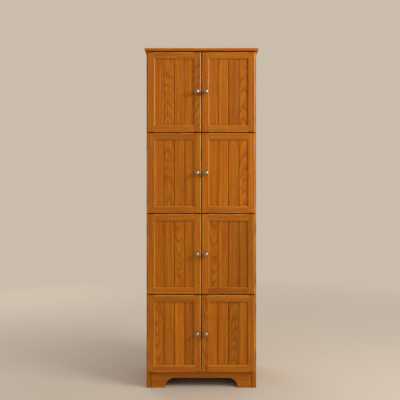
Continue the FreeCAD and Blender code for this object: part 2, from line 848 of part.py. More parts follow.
def build_catches():
    """Double magnetic catch under the board above each pair of doors."""
    bodies, magnets = [], []
    for tier, _, _, ceiling, _ in TIERS:
        case = box(
            f"{tier}_catch_case",
            ("places.catch_width", "places.catch_depth", "places.catch_height"),
            ("-places.catch_width / 2", "places.catch_y", f"{ceiling} - places.catch_height"),
        )
        flange = box(
            f"{tier}_catch_flange",
            ("places.catch_flange_width", "places.catch_depth", "sizes.catch_flange_thickness"),
            (
                "-places.catch_flange_width / 2",
                "places.catch_y",
                f"{ceiling} - sizes.catch_flange_thickness",
            ),
        )
        tools = []
        for count, sign in enumerate(("-1", "1"), start=1):
            left = f"{sign} * sizes.magnet_spacing / 2 - sizes.magnet_width / 2"
            low = f"{ceiling} - places.catch_height / 2 - sizes.magnet_height / 2"
            magnets.append(
                box(
                    f"{tier}_magnet_{count}",
                    ("sizes.magnet_width", "sizes.magnet_length", "sizes.magnet_height"),
                    (left, "places.magnet_y", low),
                )
            )
            tools.append(
                box(
                    f"{tier}_magnet_pocket_{count}",
                    (
                        "sizes.magnet_width + 2 * sizes.magnet_play",
                        "sizes.magnet_length",
                        "sizes.magnet_height + 2 * sizes.magnet_play",
                    ),
                    (f"{left} - sizes.magnet_play", "places.magnet_y", f"{low} - sizes.magnet_play"),
                )
            )
            at = (
                f"{sign} * places.catch_screw_spacing / 2",
                "places.catch_y + places.catch_depth / 2",
                f"{ceiling} - sizes.catch_flange_thickness",
            )
            drive(screw, screw_bore, at, POINTING_UP)
            tools.append(link(f"{tier}_catch_bore_{count}", screw_bore, at, POINTING_UP))
        blank = fuse(f"{tier}_catch_blank", [case, flange])
        bodies.append(cut(f"{tier}_catch", blank, group(f"{tier}_catch_pockets", tools)))
    node("catch_bodies", group("catch_bodies", bodies))
    node("catch_magnets", group("catch_magnets", magnets))


def join_boards():
    """Dowels between the boards, and the screws through the back and into the moulded top."""
    half_room = "sizes.bore_room / 2"
    columns = ("places.front_y + sizes.dowel_inset", "places.inner_back_y - sizes.dowel_inset")
    ends = [(y, f"{z} + sizes.shelf_thickness / 2") for _, z in FIXED_BOARDS for y in columns]
    rail_y = "places.inner_back_y - sizes.wall_rail_thickness / 2"
    ends.append((rail_y, "places.carcass_top_z - sizes.wall_rail_height / 2"))
    for y, z in ends:
        for sign, turn in (("-1", UPRIGHT), ("1", OTHER_HAND)):
            start = "(places.half_inner + sizes.dowel_in_side)"
            dowel_joint(
                (f"{sign} * {start}", y, z), (f"{sign} * ({start} + {half_room})", y, z), turn
            )
    apron_y = "places.front_y + sizes.apron_setback + sizes.apron_thickness / 2"
    low = "(places.bottom_shelf_z + sizes.dowel_in_shelf - sizes.dowel_length)"
    for sign in ("-1", "1"):
        x = f"{sign} * (places.half_inner - sizes.apron_gap - sizes.apron_foot / 2)"
        dowel_joint((x, apron_y, low), (x, apron_y, f"{low} - {half_room}"), STANDING)
    for _, z in FIXED_BOARDS:
        for column in ("-1", "0", "1"):
            x = f"{column} * sizes.back_screw_spacing"
            at = (x, "places.back_y", f"{z} + sizes.shelf_thickness / 2")
            drive(screw, screw_bore, at, TURNED_BACK)
    for sign in ("-1", "1"):
        for y in ("places.front_y + sizes.top_screw_inset", "places.inner_back_y - sizes.top_screw_inset"):
            at = (f"{sign} * (places.half_inner - sizes.top_screw_inset)", y, "places.carcass_top_z")
            drive(top_screw, top_screw_bore, at, POINTING_UP)


def build_carcass(peg_holes):
    """Boards of the carcass, bored for everything that joins or hangs on them."""
    fastener_bores = group("fastener_bores", carcass_screw_bores + dowel_bores)
    for side, x in (("left", "-places.half_width"), ("right", "places.half_inner")):
        board = box(
            f"{side}_side_board",
            ("sizes.side_thickness", "sizes.carcass_depth", "places.side_height"),
            (x, "places.front_y", "0"),
        )
        lap = "sizes.back_rabbet"
        rabbet_x = f"-places.half_inner - {lap}" if side == "left" else "places.half_inner"
        rabbet = box(
            f"{side}_rabbet",
            (lap, "sizes.back_thickness", "places.side_height"),
            (rabbet_x, "places.inner_back_y", "0"),
        )
        rabbeted = cut(f"{side}_side_rabbeted", board, rabbet)
        drilled = cut(f"{side}_side_drilled", rabbeted, group(f"{side}_peg_holes", peg_holes[side]))
        node(f"{side}_side", cut(f"{side}_side", drilled, fastener_bores))

    for name, z in FIXED_BOARDS:
        board = box(
            f"{name}_board",
            ("places.inner_width", "places.shelf_depth", "sizes.shelf_thickness"),
            ("-places.half_inner", "places.front_y", z),
        )
        node(name, cut(name, board, fastener_bores))

    wall_bores = [
        cylinder(
            f"wall_bore_{count}",
            "sizes.wall_hole_diameter / 2",
            "sizes.back_thickness + sizes.wall_rail_thickness",
            (
                f"{sign} * sizes.wall_hole_spacing / 2",
                "places.inner_back_y - sizes.wall_rail_thickness",
                "places.carcass_top_z - sizes.wall_rail_height / 2",
            ),
            ALONG_Y,
        )
        for count, sign in enumerate(("-1", "1"), start=1)
    ]
    wall_bores = group("wall_bores", wall_bores)
    rail = box(
        "wall_rail_board",
        ("places.inner_width", "sizes.wall_rail_thickness", "sizes.wall_rail_height"),
        (
            "-places.half_inner",
            "places.inner_back_y - sizes.wall_rail_thickness",
            "places.carcass_top_z - sizes.wall_rail_height",
        ),
    )
    node("wall_rail", cut("wall_rail", cut("wall_rail_bored", rail, wall_bores), fastener_bores))

    lap = "(sizes.back_rabbet - sizes.back_play)"
    back = box(
        "back_panel_board",
        (
            f"places.inner_width + 2 * {lap}",
            "sizes.back_thickness",
            "places.side_height - sizes.back_lift",
        ),
        (f"-places.half_inner - {lap}", "places.inner_back_y", "sizes.back_lift"),
    )
    node("back_panel", cut("back_panel", cut("back_panel_bored", back, wall_bores), fastener_bores))
    build_apron(fastener_bores)
    build_cornice(fastener_bores)


def build_apron(fastener_bores):
    """Arched apron under the bottom shelf, and the blocks that tie it to the sides."""
    half = "(places.half_inner - sizes.apron_gap)"
    span = f"({half} - sizes.apron_foot)"
    crown = "sizes.arch_lip + sizes.arch_radius"
    shoulder = f"({span} - sizes.arch_radius)"
    blank = pad(
        "apron_blank",
        "XZ_Plane",
        [
            (f"-{half}", "0"),
            (f"-{span}", "0"),
            (f"-{span}", "sizes.arch_lip", ("sizes.arch_radius", -1)),
            (f"-{shoulder}", crown),
            (shoulder, crown, ("sizes.arch_radius", -1)),
            (span, "sizes.arch_lip"),
            (span, "0"),
            (half, "0"),
            (half, "places.bottom_shelf_z"),
            (f"-{half}", "places.bottom_shelf_z"),
        ],
        "sizes.apron_thickness",
    )
    place(blank, "0", "places.front_y + sizes.apron_setback + sizes.apron_thickness", "0")
    node("apron", cut("apron", blank, fastener_bores))
    blocks = [
        box(
            f"corner_block_{side}",
            ("sizes.block_size", "sizes.block_size", "sizes.block_height"),
            (
                x,
                "places.front_y + sizes.apron_setback + sizes.apron_thickness",
                "places.bottom_shelf_z - sizes.block_height",
            ),
        )
        for side, x in (("left", "-places.half_inner"), ("right", "places.half_inner - sizes.block_size"))
    ]
    node("corner_blocks", group("corner_blocks", blocks))


def build_cornice(fastener_bores):
    """Moulded top: rounded above and coved below on its front and its two ends."""
    half = "(places.half_width + sizes.cornice_side_overhang)"
    front = "(places.door_front_y - sizes.cornice_front_overhang)"
    depth = f"(places.back_y - {front})"
    blank = pad(
        "cornice_blank",
        "XY_Plane",
        [("0", "0"), (f"2 * {half}", "0"), (f"2 * {half}", depth), ("0", depth)],
        "sizes.cornice_thickness",
    )
    top, back = value("sizes.cornice_thickness"), value(depth)
    round_edges(blank, "sizes.cornice_round", lambda point: near(point.z, top) and not near(point.y, back))
    place(blank, f"-{half}", front, "places.side_height")
    cove = "sizes.cornice_cove"
    corners = {"left": f"-{half}", "right": half}
    starts = {side: (x, front, "places.side_height") for side, x in corners.items()}
    coves = [cylinder(f"cornice_{side}_cove", cove, depth, at, ALONG_Y) for side, at in starts.items()]
    coves.append(cylinder("cornice_front_cove", cove, f"2 * {half}", starts["left"], ALONG_X))
    moulded = cut("cornice_moulded", blank, fuse("cornice_coves", coves))
    node("cornice_top", cut("cornice_top", moulded, fastener_bores))


build_doors()
build_hinges()
peg_holes = build_pegs()
build_catches()
join_boards()
build_carcass(peg_holes)
node("joint_dowels", group("joint_dowels", dowels))
node("carcass_screws", group("carcass_screws", carcass_screws))
doc.recompute()


def write_parts():
    """Check every object, then write each sub-part to its own file."""
    for item in doc.Objects:
        if "Invalid" in item.State or "Error" in item.State:
            raise RuntimeError(f"{item.Name} failed: {item.State}")
    shapes = {label: Part.getShape(item) for label, item in nodes.items()}
    for label, shape in shapes.items():
        if shape.isNull() or not shape.isValid() or not shape.Solids:
            raise RuntimeError(f"{label} has no valid solid")
    os.makedirs("parts", exist_ok=True)
    for label, shape in shapes.items():
        shape.exportStep(os.path.join("parts", f"{label}.step"))
    whole = Part.makeCompound(list(shapes.values())).BoundBox
    solids = sum(len(shape.Solids) for shape in shapes.values())
    print(f"{len(shapes)} sub-parts, {solids} solids")
    low = (whole.XMin, whole.YMin, whole.ZMin)
    high = (whole.XMax, whole.YMax, whole.ZMax)
    for name, corner in (("lowest", low), ("highest", high)):
        print(name, " ".join(f"{coordinate:.2f}" for coordinate in corner))


write_parts()
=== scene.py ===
"""Looks of a tall oak storage cabinet: timber, planked doors and fittings, in a plain studio."""

import json
import logging
import math
import random
from collections.abc import Callable, Iterable, Sequence
from dataclasses import dataclass, field, replace
from enum import Enum

import bmesh
import bpy
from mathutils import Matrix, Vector
from mathutils.geometry import tessellate_polygon


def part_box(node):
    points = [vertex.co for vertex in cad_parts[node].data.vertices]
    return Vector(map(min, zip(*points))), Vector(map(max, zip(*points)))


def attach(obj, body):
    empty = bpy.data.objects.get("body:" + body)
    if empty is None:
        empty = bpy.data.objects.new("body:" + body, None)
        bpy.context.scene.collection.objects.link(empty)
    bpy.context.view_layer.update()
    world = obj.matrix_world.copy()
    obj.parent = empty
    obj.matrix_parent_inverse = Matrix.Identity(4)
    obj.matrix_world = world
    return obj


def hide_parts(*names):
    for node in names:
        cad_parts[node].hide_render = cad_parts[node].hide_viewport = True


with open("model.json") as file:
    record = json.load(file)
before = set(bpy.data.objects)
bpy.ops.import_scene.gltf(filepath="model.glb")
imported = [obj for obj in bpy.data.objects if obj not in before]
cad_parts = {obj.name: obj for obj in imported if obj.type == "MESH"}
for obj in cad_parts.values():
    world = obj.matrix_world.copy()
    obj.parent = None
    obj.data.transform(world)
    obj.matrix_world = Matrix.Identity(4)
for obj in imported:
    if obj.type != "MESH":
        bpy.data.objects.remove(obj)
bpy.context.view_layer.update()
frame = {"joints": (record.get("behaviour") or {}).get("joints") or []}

MM = 0.001
SQUARE = math.pi / 2
SMOOTH_BELOW = math.radians(40)
PLACE_DECIMALS = 6
NO_LENGTH = 1e-7
AXES = RIGHT, BACK, UP = (Vector((1, 0, 0)), Vector((0, 1, 0)), Vector((0, 0, 1)))
LOG = logging.getLogger("cabinet")

Pair = tuple[float, float]
Triple = tuple[float, float, float]
Colour = Triple
Stops = tuple[Pair, ...]

FIXED_BOARDS = ("bottom_shelf", "lower_fixed_shelf", "middle_fixed_shelf", "upper_fixed_shelf", "carcass_top")


def angles(steps: int, start: float = 0.0, end: float = SQUARE) -> list[float]:
    """Evenly spaced angles, with the start and the end among them."""
    return [start + (end - start) * step / steps for step in range(steps + 1)]


def circle(radius: float, sides: int) -> list[Pair]:
    """Evenly spaced points around a circle."""
    turns = angles(sides, 0.0, 4 * SQUARE)[:-1]
    return [(radius * math.cos(turn), radius * math.sin(turn)) for turn in turns]


def link_object(name: str, data: bpy.types.ID) -> bpy.types.Object:
    """Object with some data, in the scene.

    Args:
        name: its name.
        data: its mesh, light or camera.

    Returns:
        The object.
    """
    made = bpy.data.objects.new(name, data)
    bpy.context.scene.collection.objects.link(made)
    return made


class Tier(Enum):
    """A pair of doors, with the boards below and above it."""

    BOTTOM = ("bottom", "bottom_shelf", "lower_fixed_shelf")
    LOWER = ("lower", "lower_fixed_shelf", "middle_fixed_shelf")
    UPPER = ("upper", "middle_fixed_shelf", "upper_fixed_shelf")
    TOP = ("top", "upper_fixed_shelf", "carcass_top")

    @property
    def label(self) -> str:
        """Name that starts the names of the tier's parts."""
        return self.value[0]

    @property
    def floor(self) -> float:
        """Height of the board that the tier stands on."""
        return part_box(self.value[1])[1].z

    @property
    def ceiling(self) -> float:
        """Height of the underside of the board above."""
        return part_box(self.value[2])[0].z

    @property
    def middle(self) -> float:
        """Height halfway between the two boards."""
        return (self.floor + self.ceiling) / 2


class Hand(Enum):
    """Side of the cabinet, seen from the front."""

    LEFT = -1
    RIGHT = 1

    @property
    def label(self) -> str:
        """Name that the parts of this side carry."""
        return self.name.lower()


class Cut(Enum):
    """How a stave was sawn from its log.

    The values are ranges in millimetres: where the tree's centre lies across and through the stave, and
    how far it drifts across and through in a metre of length.
    """

    FLAT = ((-12, 12), (-75, -120), (-20, 20), (52, 78))
    RIFT = ((75, 130), (-60, -110), (-18, 18), (-10, 10))
    QUARTER = ((110, 180), (-12, 12), (-10, 10), (-6, 6))


@dataclass(frozen=True)
class Log:
    """Where one stave lay in its tree, in the board's own length, width and thickness.

    Attributes:
        start: distance up the tree, which sets staves apart.
        pith: place of the tree's centre across and through the board.
        lean: drift of that centre across and through, for each metre of length.
        tone: from 0 for dark timber to 1 for light.
    """

    start: float = 0.0
    pith: Pair = (0.0, 0.0)
    lean: Pair = (0.0, 0.0)
    tone: float = 0.5

    def locate(self, at: Vector) -> Vector:
        """Place in the tree of a point of the board.

        Args:
            at: point along, across and through the board.

        Returns:
            Distance up the tree, and the two distances from its centre.
        """
        across = at.y - self.pith[0] + self.lean[0] * at.x
        through = at.z - self.pith[1] + self.lean[1] * at.x
        return Vector((self.start + at.x, across, through))


@dataclass(frozen=True)
class Timber:
    """Staves glued side by side into one board.

    Attributes:
        logs: log of each stave.
        width: width of the board.
    """

    logs: tuple[Log, ...] = (Log(),)
    width: float = 1.0

    def log_across(self, across: float) -> Log:
        """Log of the stave at a distance across the board."""
        index = int(across / self.width * len(self.logs))
        return self.logs[min(max(index, 0), len(self.logs) - 1)]


PLAIN = Timber()


@dataclass
class Sawyer:
    """Picks logs, in the same order on every run.

    Attributes:
        seed: where the choices start.
        tone: mean tone of the stack.
        tone_spread: how far staves differ from it.
        tallest: height of the tallest tree.
        straight: shares of rift and of quarter cuts in the stack.
        flat: share of flat cuts in wide boards.
        chance: where the choices come from.
    """

    seed: int
    tone: float = 0.5
    tone_spread: float = 0.2
    tallest: float = 40.0
    straight: tuple[int, int] = (6, 4)
    flat: int = 2
    chance: random.Random = field(init=False)

    def __post_init__(self) -> None:
        """Start the choices."""
        self.chance = random.Random(self.seed)

    def pick_cut(self, flat: int = 0) -> Cut:
        """Cut of a stave from the stack, with a share of flat cuts in it."""
        return self.chance.choices((Cut.RIFT, Cut.QUARTER, Cut.FLAT), (*self.straight, flat))[0]

    def saw(self, cut: Cut, middle: float) -> Log:
        """Saw one stave.

        Args:
            cut: how it lies in the log.
            middle: where its middle is across the board.

        Returns:
            The stave's log.
        """
        hand = self.chance.choice((-1.0, 1.0))
        across, through, drift, rise = (self.chance.uniform(*span) * MM for span in cut.value)
        if cut is Cut.FLAT:
            rise *= hand
        else:
            across *= hand
        tone = min(max(self.chance.gauss(self.tone, self.tone_spread), 0.0), 1.0)
        return Log(self.chance.uniform(0, self.tallest), (middle + across, through), (drift, rise), tone)

    def timber(self, width: float, staves: int = 1, cut: Cut | None = None) -> Timber:
        """Glue up a board.

        Args:
            width: width of the board.
            staves: how many staves make it up.
            cut: cut of every stave, or None for a mixture.

        Returns:
            The board's timber.
        """
        middles = [(stave + 0.5) * width / staves for stave in range(staves)]
        logs = [self.saw(cut or self.pick_cut(self.flat), middle) for middle in middles]
        return Timber(tuple(logs), width)


@dataclass(frozen=True)
class Placing:
    """Where a piece's length, width and thickness run in the cabinet's frame.

    Attributes:
        corner: where the piece starts.
        along: way of its length.
        across: way of its width.
        through: way of its thickness.
    """

    corner: Vector
    along: Vector = RIGHT
    across: Vector = BACK
    through: Vector = UP

    @classmethod
    def upright(cls, corner: Vector) -> "Placing":
        """Placing of a piece whose length runs up."""
        return cls(corner, UP, RIGHT, BACK)

    @classmethod
    def level(cls, corner: Vector, way: float = -1.0) -> "Placing":
        """Placing of a piece whose length runs out of the doors, or into them where the way is 1."""
        return cls(corner, BACK * way, RIGHT, UP)

    def locate(self, at: Vector) -> Vector:
        """Point in the cabinet's frame."""
        return self.corner + self.along * at.x + self.across * at.y + self.through * at.z


class Lay(Enum):
    """Axes that a board's length, width and thickness follow."""

    SHELF = (0, 1, 2)
    FACE = (2, 0, 1)
    RAIL = (0, 2, 1)

    def placing(self, corner: Vector) -> Placing:
        """Placing of a board from its lowest corner."""
        return Placing(corner, *(AXES[axis] for axis in self.value))

    def size(self, low: Vector, high: Vector) -> Vector:
        """Length, width and thickness of a box."""
        return Vector([high[axis] - low[axis] for axis in self.value])


@dataclass(frozen=True)
class Spot:
    """One vertex, along, across and through its piece.

    Attributes:
        at: its place.
        worn: how much wear from hands and cloths the finish has there, from 0 to 1; on timber it also paints
            a pale highlight.
        gathered: how much stain or dirt has collected there, from 0 to 1; on the outer roundings of door
            members it paints shade.
    """

    at: Vector
    worn: float = 0.0
    gathered: float = 0.0


def section(marks: Iterable[Sequence[float]]) -> list[Spot]:
    """Vertices at the start of a piece, from their places across and through, wear and dirt."""
    return [Spot(Vector((0.0, across, through)), *touch) for across, through, *touch in marks]


def shifted(spots: Iterable[Spot], along: float) -> list[Spot]:
    """Vertices moved along their piece."""
    return [replace(spot, at=spot.at + Vector((along, 0.0, 0.0))) for spot in spots]


class Shell:
    """Closed meshes that make up one object, with what its finish reads at every corner.

    Attributes:
        points: vertices in the cabinet's frame.
        spots: the same vertices in their pieces.
        faces: vertices of each face.
        finish_of_face: which of the object's finishes each face takes.
        tree_places: place in the tree of each face's corners, as plain numbers.
        touches: wear and painted highlight, dirt and painted shade, and tone of each face's corners, as plain
            numbers.
    """

    def __init__(self) -> None:
        """Start with nothing."""
        self.points: list[Vector] = []
        self.spots: list[Spot] = []
        self.faces: list[list[int]] = []
        self.finish_of_face: list[int] = []
        self.tree_places: list[float] = []
        self.touches: list[float] = []
        self.start(Placing(Vector()))

    def start(self, placing: Placing, timber: Timber = PLAIN, finish: int = 0) -> None:
        """Start a mesh of one timber and finish, which shares no vertex with those before it."""
        self._placing, self._timber, self._finish = placing, timber, finish
        self._known: dict[tuple[float, ...], int] = {}

    def loop(self, spots: Iterable[Spot]) -> list[int]:
        """Add vertices, and share those that coincide within the mesh.

        Args:
            spots: the vertices in order.

        Returns:
            Their numbers.
        """
        numbers = []
        for spot in spots:
            key = tuple(round(coordinate, PLACE_DECIMALS) for coordinate in spot.at)
            if key not in self._known:
                self._known[key] = len(self.points)
                self.points.append(self._placing.locate(spot.at))
                self.spots.append(spot)
            numbers.append(self._known[key])
        return numbers

    def face(self, corners: Sequence[int]) -> None:
        """Add one face, unless its corners fall together.

        Args:
            corners: numbers of its vertices in order.
        """
        kept = [corner for index, corner in enumerate(corners) if corner != corners[index - 1]]
        if len(set(kept)) < 3:
            return
        spots = [self.spots[corner] for corner in kept]
        log = self._timber.log_across(sum(spot.at.y for spot in spots) / len(spots))
        self.faces.append(kept)
        self.finish_of_face.append(self._finish)
        for spot in spots:
            self.tree_places.extend(log.locate(spot.at))
            self.touches.extend((spot.worn, spot.gathered, log.tone))

    def bridge(self, first: Sequence[int], second: Sequence[int]) -> None:
        """Join two closed loops of the same length with a band of faces."""
        for index in range(len(first)):
            self.face((first[index - 1], first[index], second[index], second[index - 1]))

    def skin(self, rings: Iterable[Iterable[Spot]]) -> list[list[int]]:
        """Join rings in order with bands of faces.

        Args:
            rings: rings of vertices, all of the same length.

        Returns:
            The numbers of each ring's vertices.
        """
        loops = [self.loop(ring) for ring in rings]
        for first, second in zip(loops, loops[1:]):
            self.bridge(first, second)
        return loops

    def solid(self, rings: Iterable[Iterable[Spot]]) -> None:
        """Join rings in order with bands of faces, and close the first and the last.

        Args:
            rings: rings of vertices, all of the same length.
        """
        loops = self.skin(rings)
        for loop in (loops[0], loops[-1]):
            self.face(loop)

    def pierced(self, outer: Sequence[int], rims: Sequence[Sequence[int]]) -> None:
        """Fill a flat outline around the rims of its holes.

        Args:
            outer: numbers of the outline's vertices.
            rims: numbers of each hole's vertices.
        """
        rings = [outer, *rims]
        numbers = [number for ring in rings for number in ring]
        for triangle in tessellate_polygon([[self.points[number] for number in ring] for ring in rings]):
            self.face([numbers[corner] for corner in triangle])

    def make(self, name: str) -> bpy.types.Object:
        """Make the object.

        Args:
            name: its name.

        Returns:
            The object, with the corner attributes log_at and touch.
        """
        mesh = bpy.data.meshes.new(name)
        mesh.from_pydata(self.points, [], self.faces)
        for attribute, values in (("log_at", self.tree_places), ("touch", self.touches)):
            mesh.attributes.new(attribute, "FLOAT_VECTOR", "CORNER").data.foreach_set("vector", values)
        mesh.polygons.foreach_set("material_index", self.finish_of_face)
        work = bmesh.new()
        work.from_mesh(mesh)
        bmesh.ops.dissolve_degenerate(work, dist=NO_LENGTH, edges=work.edges)
        bmesh.ops.recalc_face_normals(work, faces=work.faces)
        work.to_mesh(mesh)
        work.free()
        mesh.shade_smooth()
        mesh.set_sharp_from_angle(angle=SMOOTH_BELOW)
        return link_object(name, mesh)


@dataclass(frozen=True)
class Row:
    """One level of an edge's shape, between the two faces of a board.

    Attributes:
        depth: distance from the first face.
        inset: how far the edge stands in from the board's full outline.
        worn: how much wear the edge has there, which on timber also paints a pale highlight.
        rebate: what is cut away at the far edge alone.
    """

    depth: float
    inset: float
    worn: float = 0.0
    rebate: float = 0.0


@dataclass(frozen=True)
class Ease:
    """Rounding of a board's arrises.

    Attributes:
        arris: radius of the rounding.
        steps: how many facets make it up.
        hold: width of the flat margin that keeps the face's shading flat.
    """

    arris: float
    steps: int = 3
    hold: float = 3 * MM

    def rows(self, thickness: float) -> list[Row]:
        """Edge of a board.

        Args:
            thickness: thickness of the board.

        Returns:
            Rows from the first face to the second.
        """
        first = [Row(0.0, self.arris + self.hold)]
        # Wear, which on timber also paints a pale highlight, peaks halfway round the rounding.
        for turn in angles(self.steps):
            depth, inset = (self.arris * (1 - share) for share in (math.cos(turn), math.sin(turn)))
            first.append(Row(depth, inset, math.sin(2 * turn)))
        return first + [replace(row, depth=thickness - row.depth) for row in reversed(first)]


@dataclass(frozen=True)
class Hole:
    """Round hole from a board's second face, through it or to a depth.

    Attributes:
        along: place of its middle along the board.
        across: place of its middle across the board.
        radius: its radius.
        depth: its depth, or None for a hole through the board.
        sides: facets around it.
    """

    along: float
    across: float
    radius: float
    depth: float | None = None
    sides: int = 16

    def ring(self, through: float, gathered: float) -> list[Spot]:
        """Vertices around the hole at a level, with some stain collected there."""
        places = [(self.along + x, self.across + y) for x, y in circle(self.radius, self.sides)]
        return [Spot(Vector((*place, through)), 0.0, gathered) for place in places]


Rim = tuple[Hole, list[int]]


@dataclass
class Board:
    """Board or plate with shaped edges, staves across its width, and round holes.

    Attributes:
        size: length along the grain, width and thickness.
        placing: where it goes.
        timber: what it is sawn from.
        rows: shape of its edges.
        shaped: how much of the rows' inset the start, end, near and far edges take.
        holes: its holes.
    """

    size: Vector
    placing: Placing
    timber: Timber = PLAIN
    rows: Sequence[Row] = ()
    shaped: tuple[float, float, float, float] = (1.0, 1.0, 1.0, 1.0)
    holes: Sequence[Hole] = ()

    def build(self, shell: Shell) -> None:
        """Add the board to a shell.

        Args:
            shell: the shell.
        """
        thickness = self.size.z
        shell.start(self.placing, self.timber)
        loops = shell.skin(map(self._ring, self.rows))
        rims: list[Rim] = []
        exits: list[Rim] = []
        for hole in self.holes:
            rim = shell.loop(hole.ring(thickness, 0.0))
            level, gathered = (thickness - hole.depth, 1.0) if hole.depth else (0.0, 0.0)
            bottom = shell.loop(hole.ring(level, gathered))
            shell.bridge(rim, bottom)
            rims.append((hole, rim))
            if hole.depth:
                shell.face(bottom)
            else:
                exits.append((hole, bottom))
        self._cap(shell, loops[0], exits)
        self._cap(shell, loops[-1], rims)

    def _ring(self, row: Row) -> list[Spot]:
        """Outline of the board at one level, with a vertex at both ends of every seam.

        Args:
            row: shape of the edges at that level.

        Returns:
            The vertices in order.
        """
        start, end, near, far = (row.inset * share for share in self.shaped)
        low, high = start, self.size.x - end
        back = self.size.y - far - row.rebate
        staves = len(self.timber.logs)
        seams = [self.size.y * stave / staves for stave in range(1, staves)]
        outline = [(low, near), *((high, across) for across in (near, *seams, back)), (low, back)]
        outline += [(low, seam) for seam in reversed(seams)]
        return [Spot(Vector((along, across, row.depth)), row.worn) for along, across in outline]

    def _cap(self, shell: Shell, loop: Sequence[int], rims: Sequence[Rim]) -> None:
        """Close one face, stave by stave.

        Args:
            shell: the shell that holds the board.
            loop: numbers of the face's outline.
            rims: the holes in the face, with the numbers of their vertices.
        """
        staves = len(self.timber.logs)
        span = self.size.y / staves
        for stave in range(staves):
            corners = (loop[-stave], loop[stave + 1], loop[stave + 2], loop[-stave - 1])
            inside = [rim for hole, rim in rims if stave * span < hole.across < (stave + 1) * span]
            if inside:
                shell.pierced(corners, inside)
            else:
                shell.face(corners)


def fill_box(
    low: Vector, high: Vector, lay: Lay, ease: Ease, timber: Timber = PLAIN, holes: Sequence[Hole] = ()
) -> Board:
    """Board with eased edges that fills a box."""
    size = lay.size(low, high)
    return Board(size, lay.placing(low), timber, ease.rows(size.z), holes=holes)


@dataclass
class Cutout:
    """Flat piece cut to an outline, with eased edges.

    Attributes:
        outline: corners along and across the piece, anticlockwise.
        placing: where it goes.
        rows: shape of its edges.
        timber: what it is sawn from.
    """

    outline: Sequence[Pair]
    placing: Placing
    rows: Sequence[Row]
    timber: Timber = PLAIN

    def build(self, shell: Shell) -> None:
        """Add the piece to a shell."""
        shell.start(self.placing, self.timber)
        shell.solid(map(self._ring, self.rows))

    def _ring(self, row: Row) -> list[Spot]:
        """Outline at one level, moved in by the row's inset along its mitres.

        Args:
            row: shape of the edges at that level.

        Returns:
            The vertices in order.
        """
        points = [Vector(point) for point in self.outline]
        spots = []
        for index, point in enumerate(points):
            before = (point - points[index - 1]).normalized()
            after = (points[(index + 1) % len(points)] - point).normalized()
            normals = [Vector((-way.y, way.x)) for way in (before, after)]
            mitre = (normals[0] + normals[1]) / (1 + normals[0].dot(normals[1]))
            moved = point + mitre * row.inset
            spots.append(Spot(Vector((moved.x, moved.y, row.depth)), row.worn))
        return spots


@dataclass(frozen=True)
class Bead:
    """One level of a turned piece.

    Attributes:
        along: its distance along the piece.
        radius: its radius.
        worn: how much wear it has there.
        gathered: how much dirt has collected there.
    """

    along: float
    radius: float
    worn: float = 0.0
    gathered: float = 0.0


@dataclass
class Turning:
    """Piece turned about its length.

    Attributes:
        beads: its profile.
        placing: where it goes.
        sides: facets around it.
    """

    beads: Sequence[Bead]
    placing: Placing
    sides: int = 32

    def build(self, shell: Shell) -> None:
        """Add the piece to a shell."""
        shell.start(self.placing)
        shell.solid(map(self.ring, self.beads))

    def ring(self, bead: Bead) -> list[Spot]:
        """Vertices around one bead."""
        places = circle(bead.radius, self.sides)
        return [Spot(Vector((bead.along, *place)), bead.worn, bead.gathered) for place in places]


@dataclass
class Screw:
    """Screw with a raised head and a cross recess, driven along its placing.

    Attributes:
        placing: its length runs into the timber from the plane of the head's rim.
        length: length below that plane.
        head: radius of the head.
        shank: radius of the shank.
        seat: depth of the cone under the rim, or 0 for a head that sits on the surface.
        crown: height of the head's flat top above the rim.
        finish: which of its object's finishes it takes.
        sides: facets around it.
        tip: length of the point and radius of its end, in radii of the shank.
        shoulder: height in crowns and radius in heads of the bend above the rim.
        flat: radius of the flat top, in heads.
        arm: length and half width of the recess's arms, in heads.
        recess: depth of the recess in heads, and size of its bottom beside its rim.
    """

    placing: Placing
    length: float = 14 * MM
    head: float = 2.8 * MM
    shank: float = 1.5 * MM
    seat: float = 1.3 * MM
    crown: float = 0.25 * MM
    finish: int = 0
    sides: int = 20
    tip: Pair = (2.0, 0.2)
    shoulder: Pair = (0.6, 0.94)
    flat: float = 0.72
    arm: Pair = (0.56, 0.13)
    recess: Pair = (0.4, 0.55)

    def build(self, shell: Shell) -> None:
        """Add the screw to a shell.

        Args:
            shell: the shell.
        """
        head, shank, crown = self.head, self.shank, self.crown
        point, end = self.tip
        rise, bend = self.shoulder
        depth, taper = self.recess
        beads = [
            Bead(self.length, end * shank),
            Bead(self.length - point * shank, shank),
            Bead(self.seat, shank),
            Bead(0.0, head, gathered=1.0),
            Bead(-rise * crown, bend * head, worn=1.0),
            Bead(-crown, self.flat * head),
        ]
        shell.start(self.placing, PLAIN, self.finish)
        loops = shell.skin(map(Turning(beads, self.placing, self.sides).ring, beads))
        shell.face(loops[0])
        rim = shell.loop(self._cross(-crown, scale=1.0, gathered=0.5))
        shell.pierced(loops[-1], [rim])
        bottom = shell.loop(self._cross(depth * head, scale=taper, gathered=1.0))
        shell.bridge(rim, bottom)
        shell.face(bottom)

    def _cross(self, along: float, scale: float, gathered: float) -> list[Spot]:
        """Outline of the driver's recess at one level.

        Args:
            along: the level.
            scale: size of the outline beside that of the rim.
            gathered: how much dirt has collected there.

        Returns:
            The vertices in order.
        """
        arm, half = (share * self.head * scale for share in self.arm)
        quarter = ((arm, -half), (arm, half), (half, half))
        spots = []
        for cosine, sine in ((1, 0), (0, 1), (-1, 0), (0, -1)):
            for x, y in quarter:
                place = (x * cosine - y * sine, x * sine + y * cosine)
                spots.append(Spot(Vector((along, *place)), 0.0, gathered))
        return spots


class MemberEnd(Enum):
    """How a door member ends."""

    ROUNDED = "rounded over at the door's edge"
    COPED = "coped over the stile beside it"


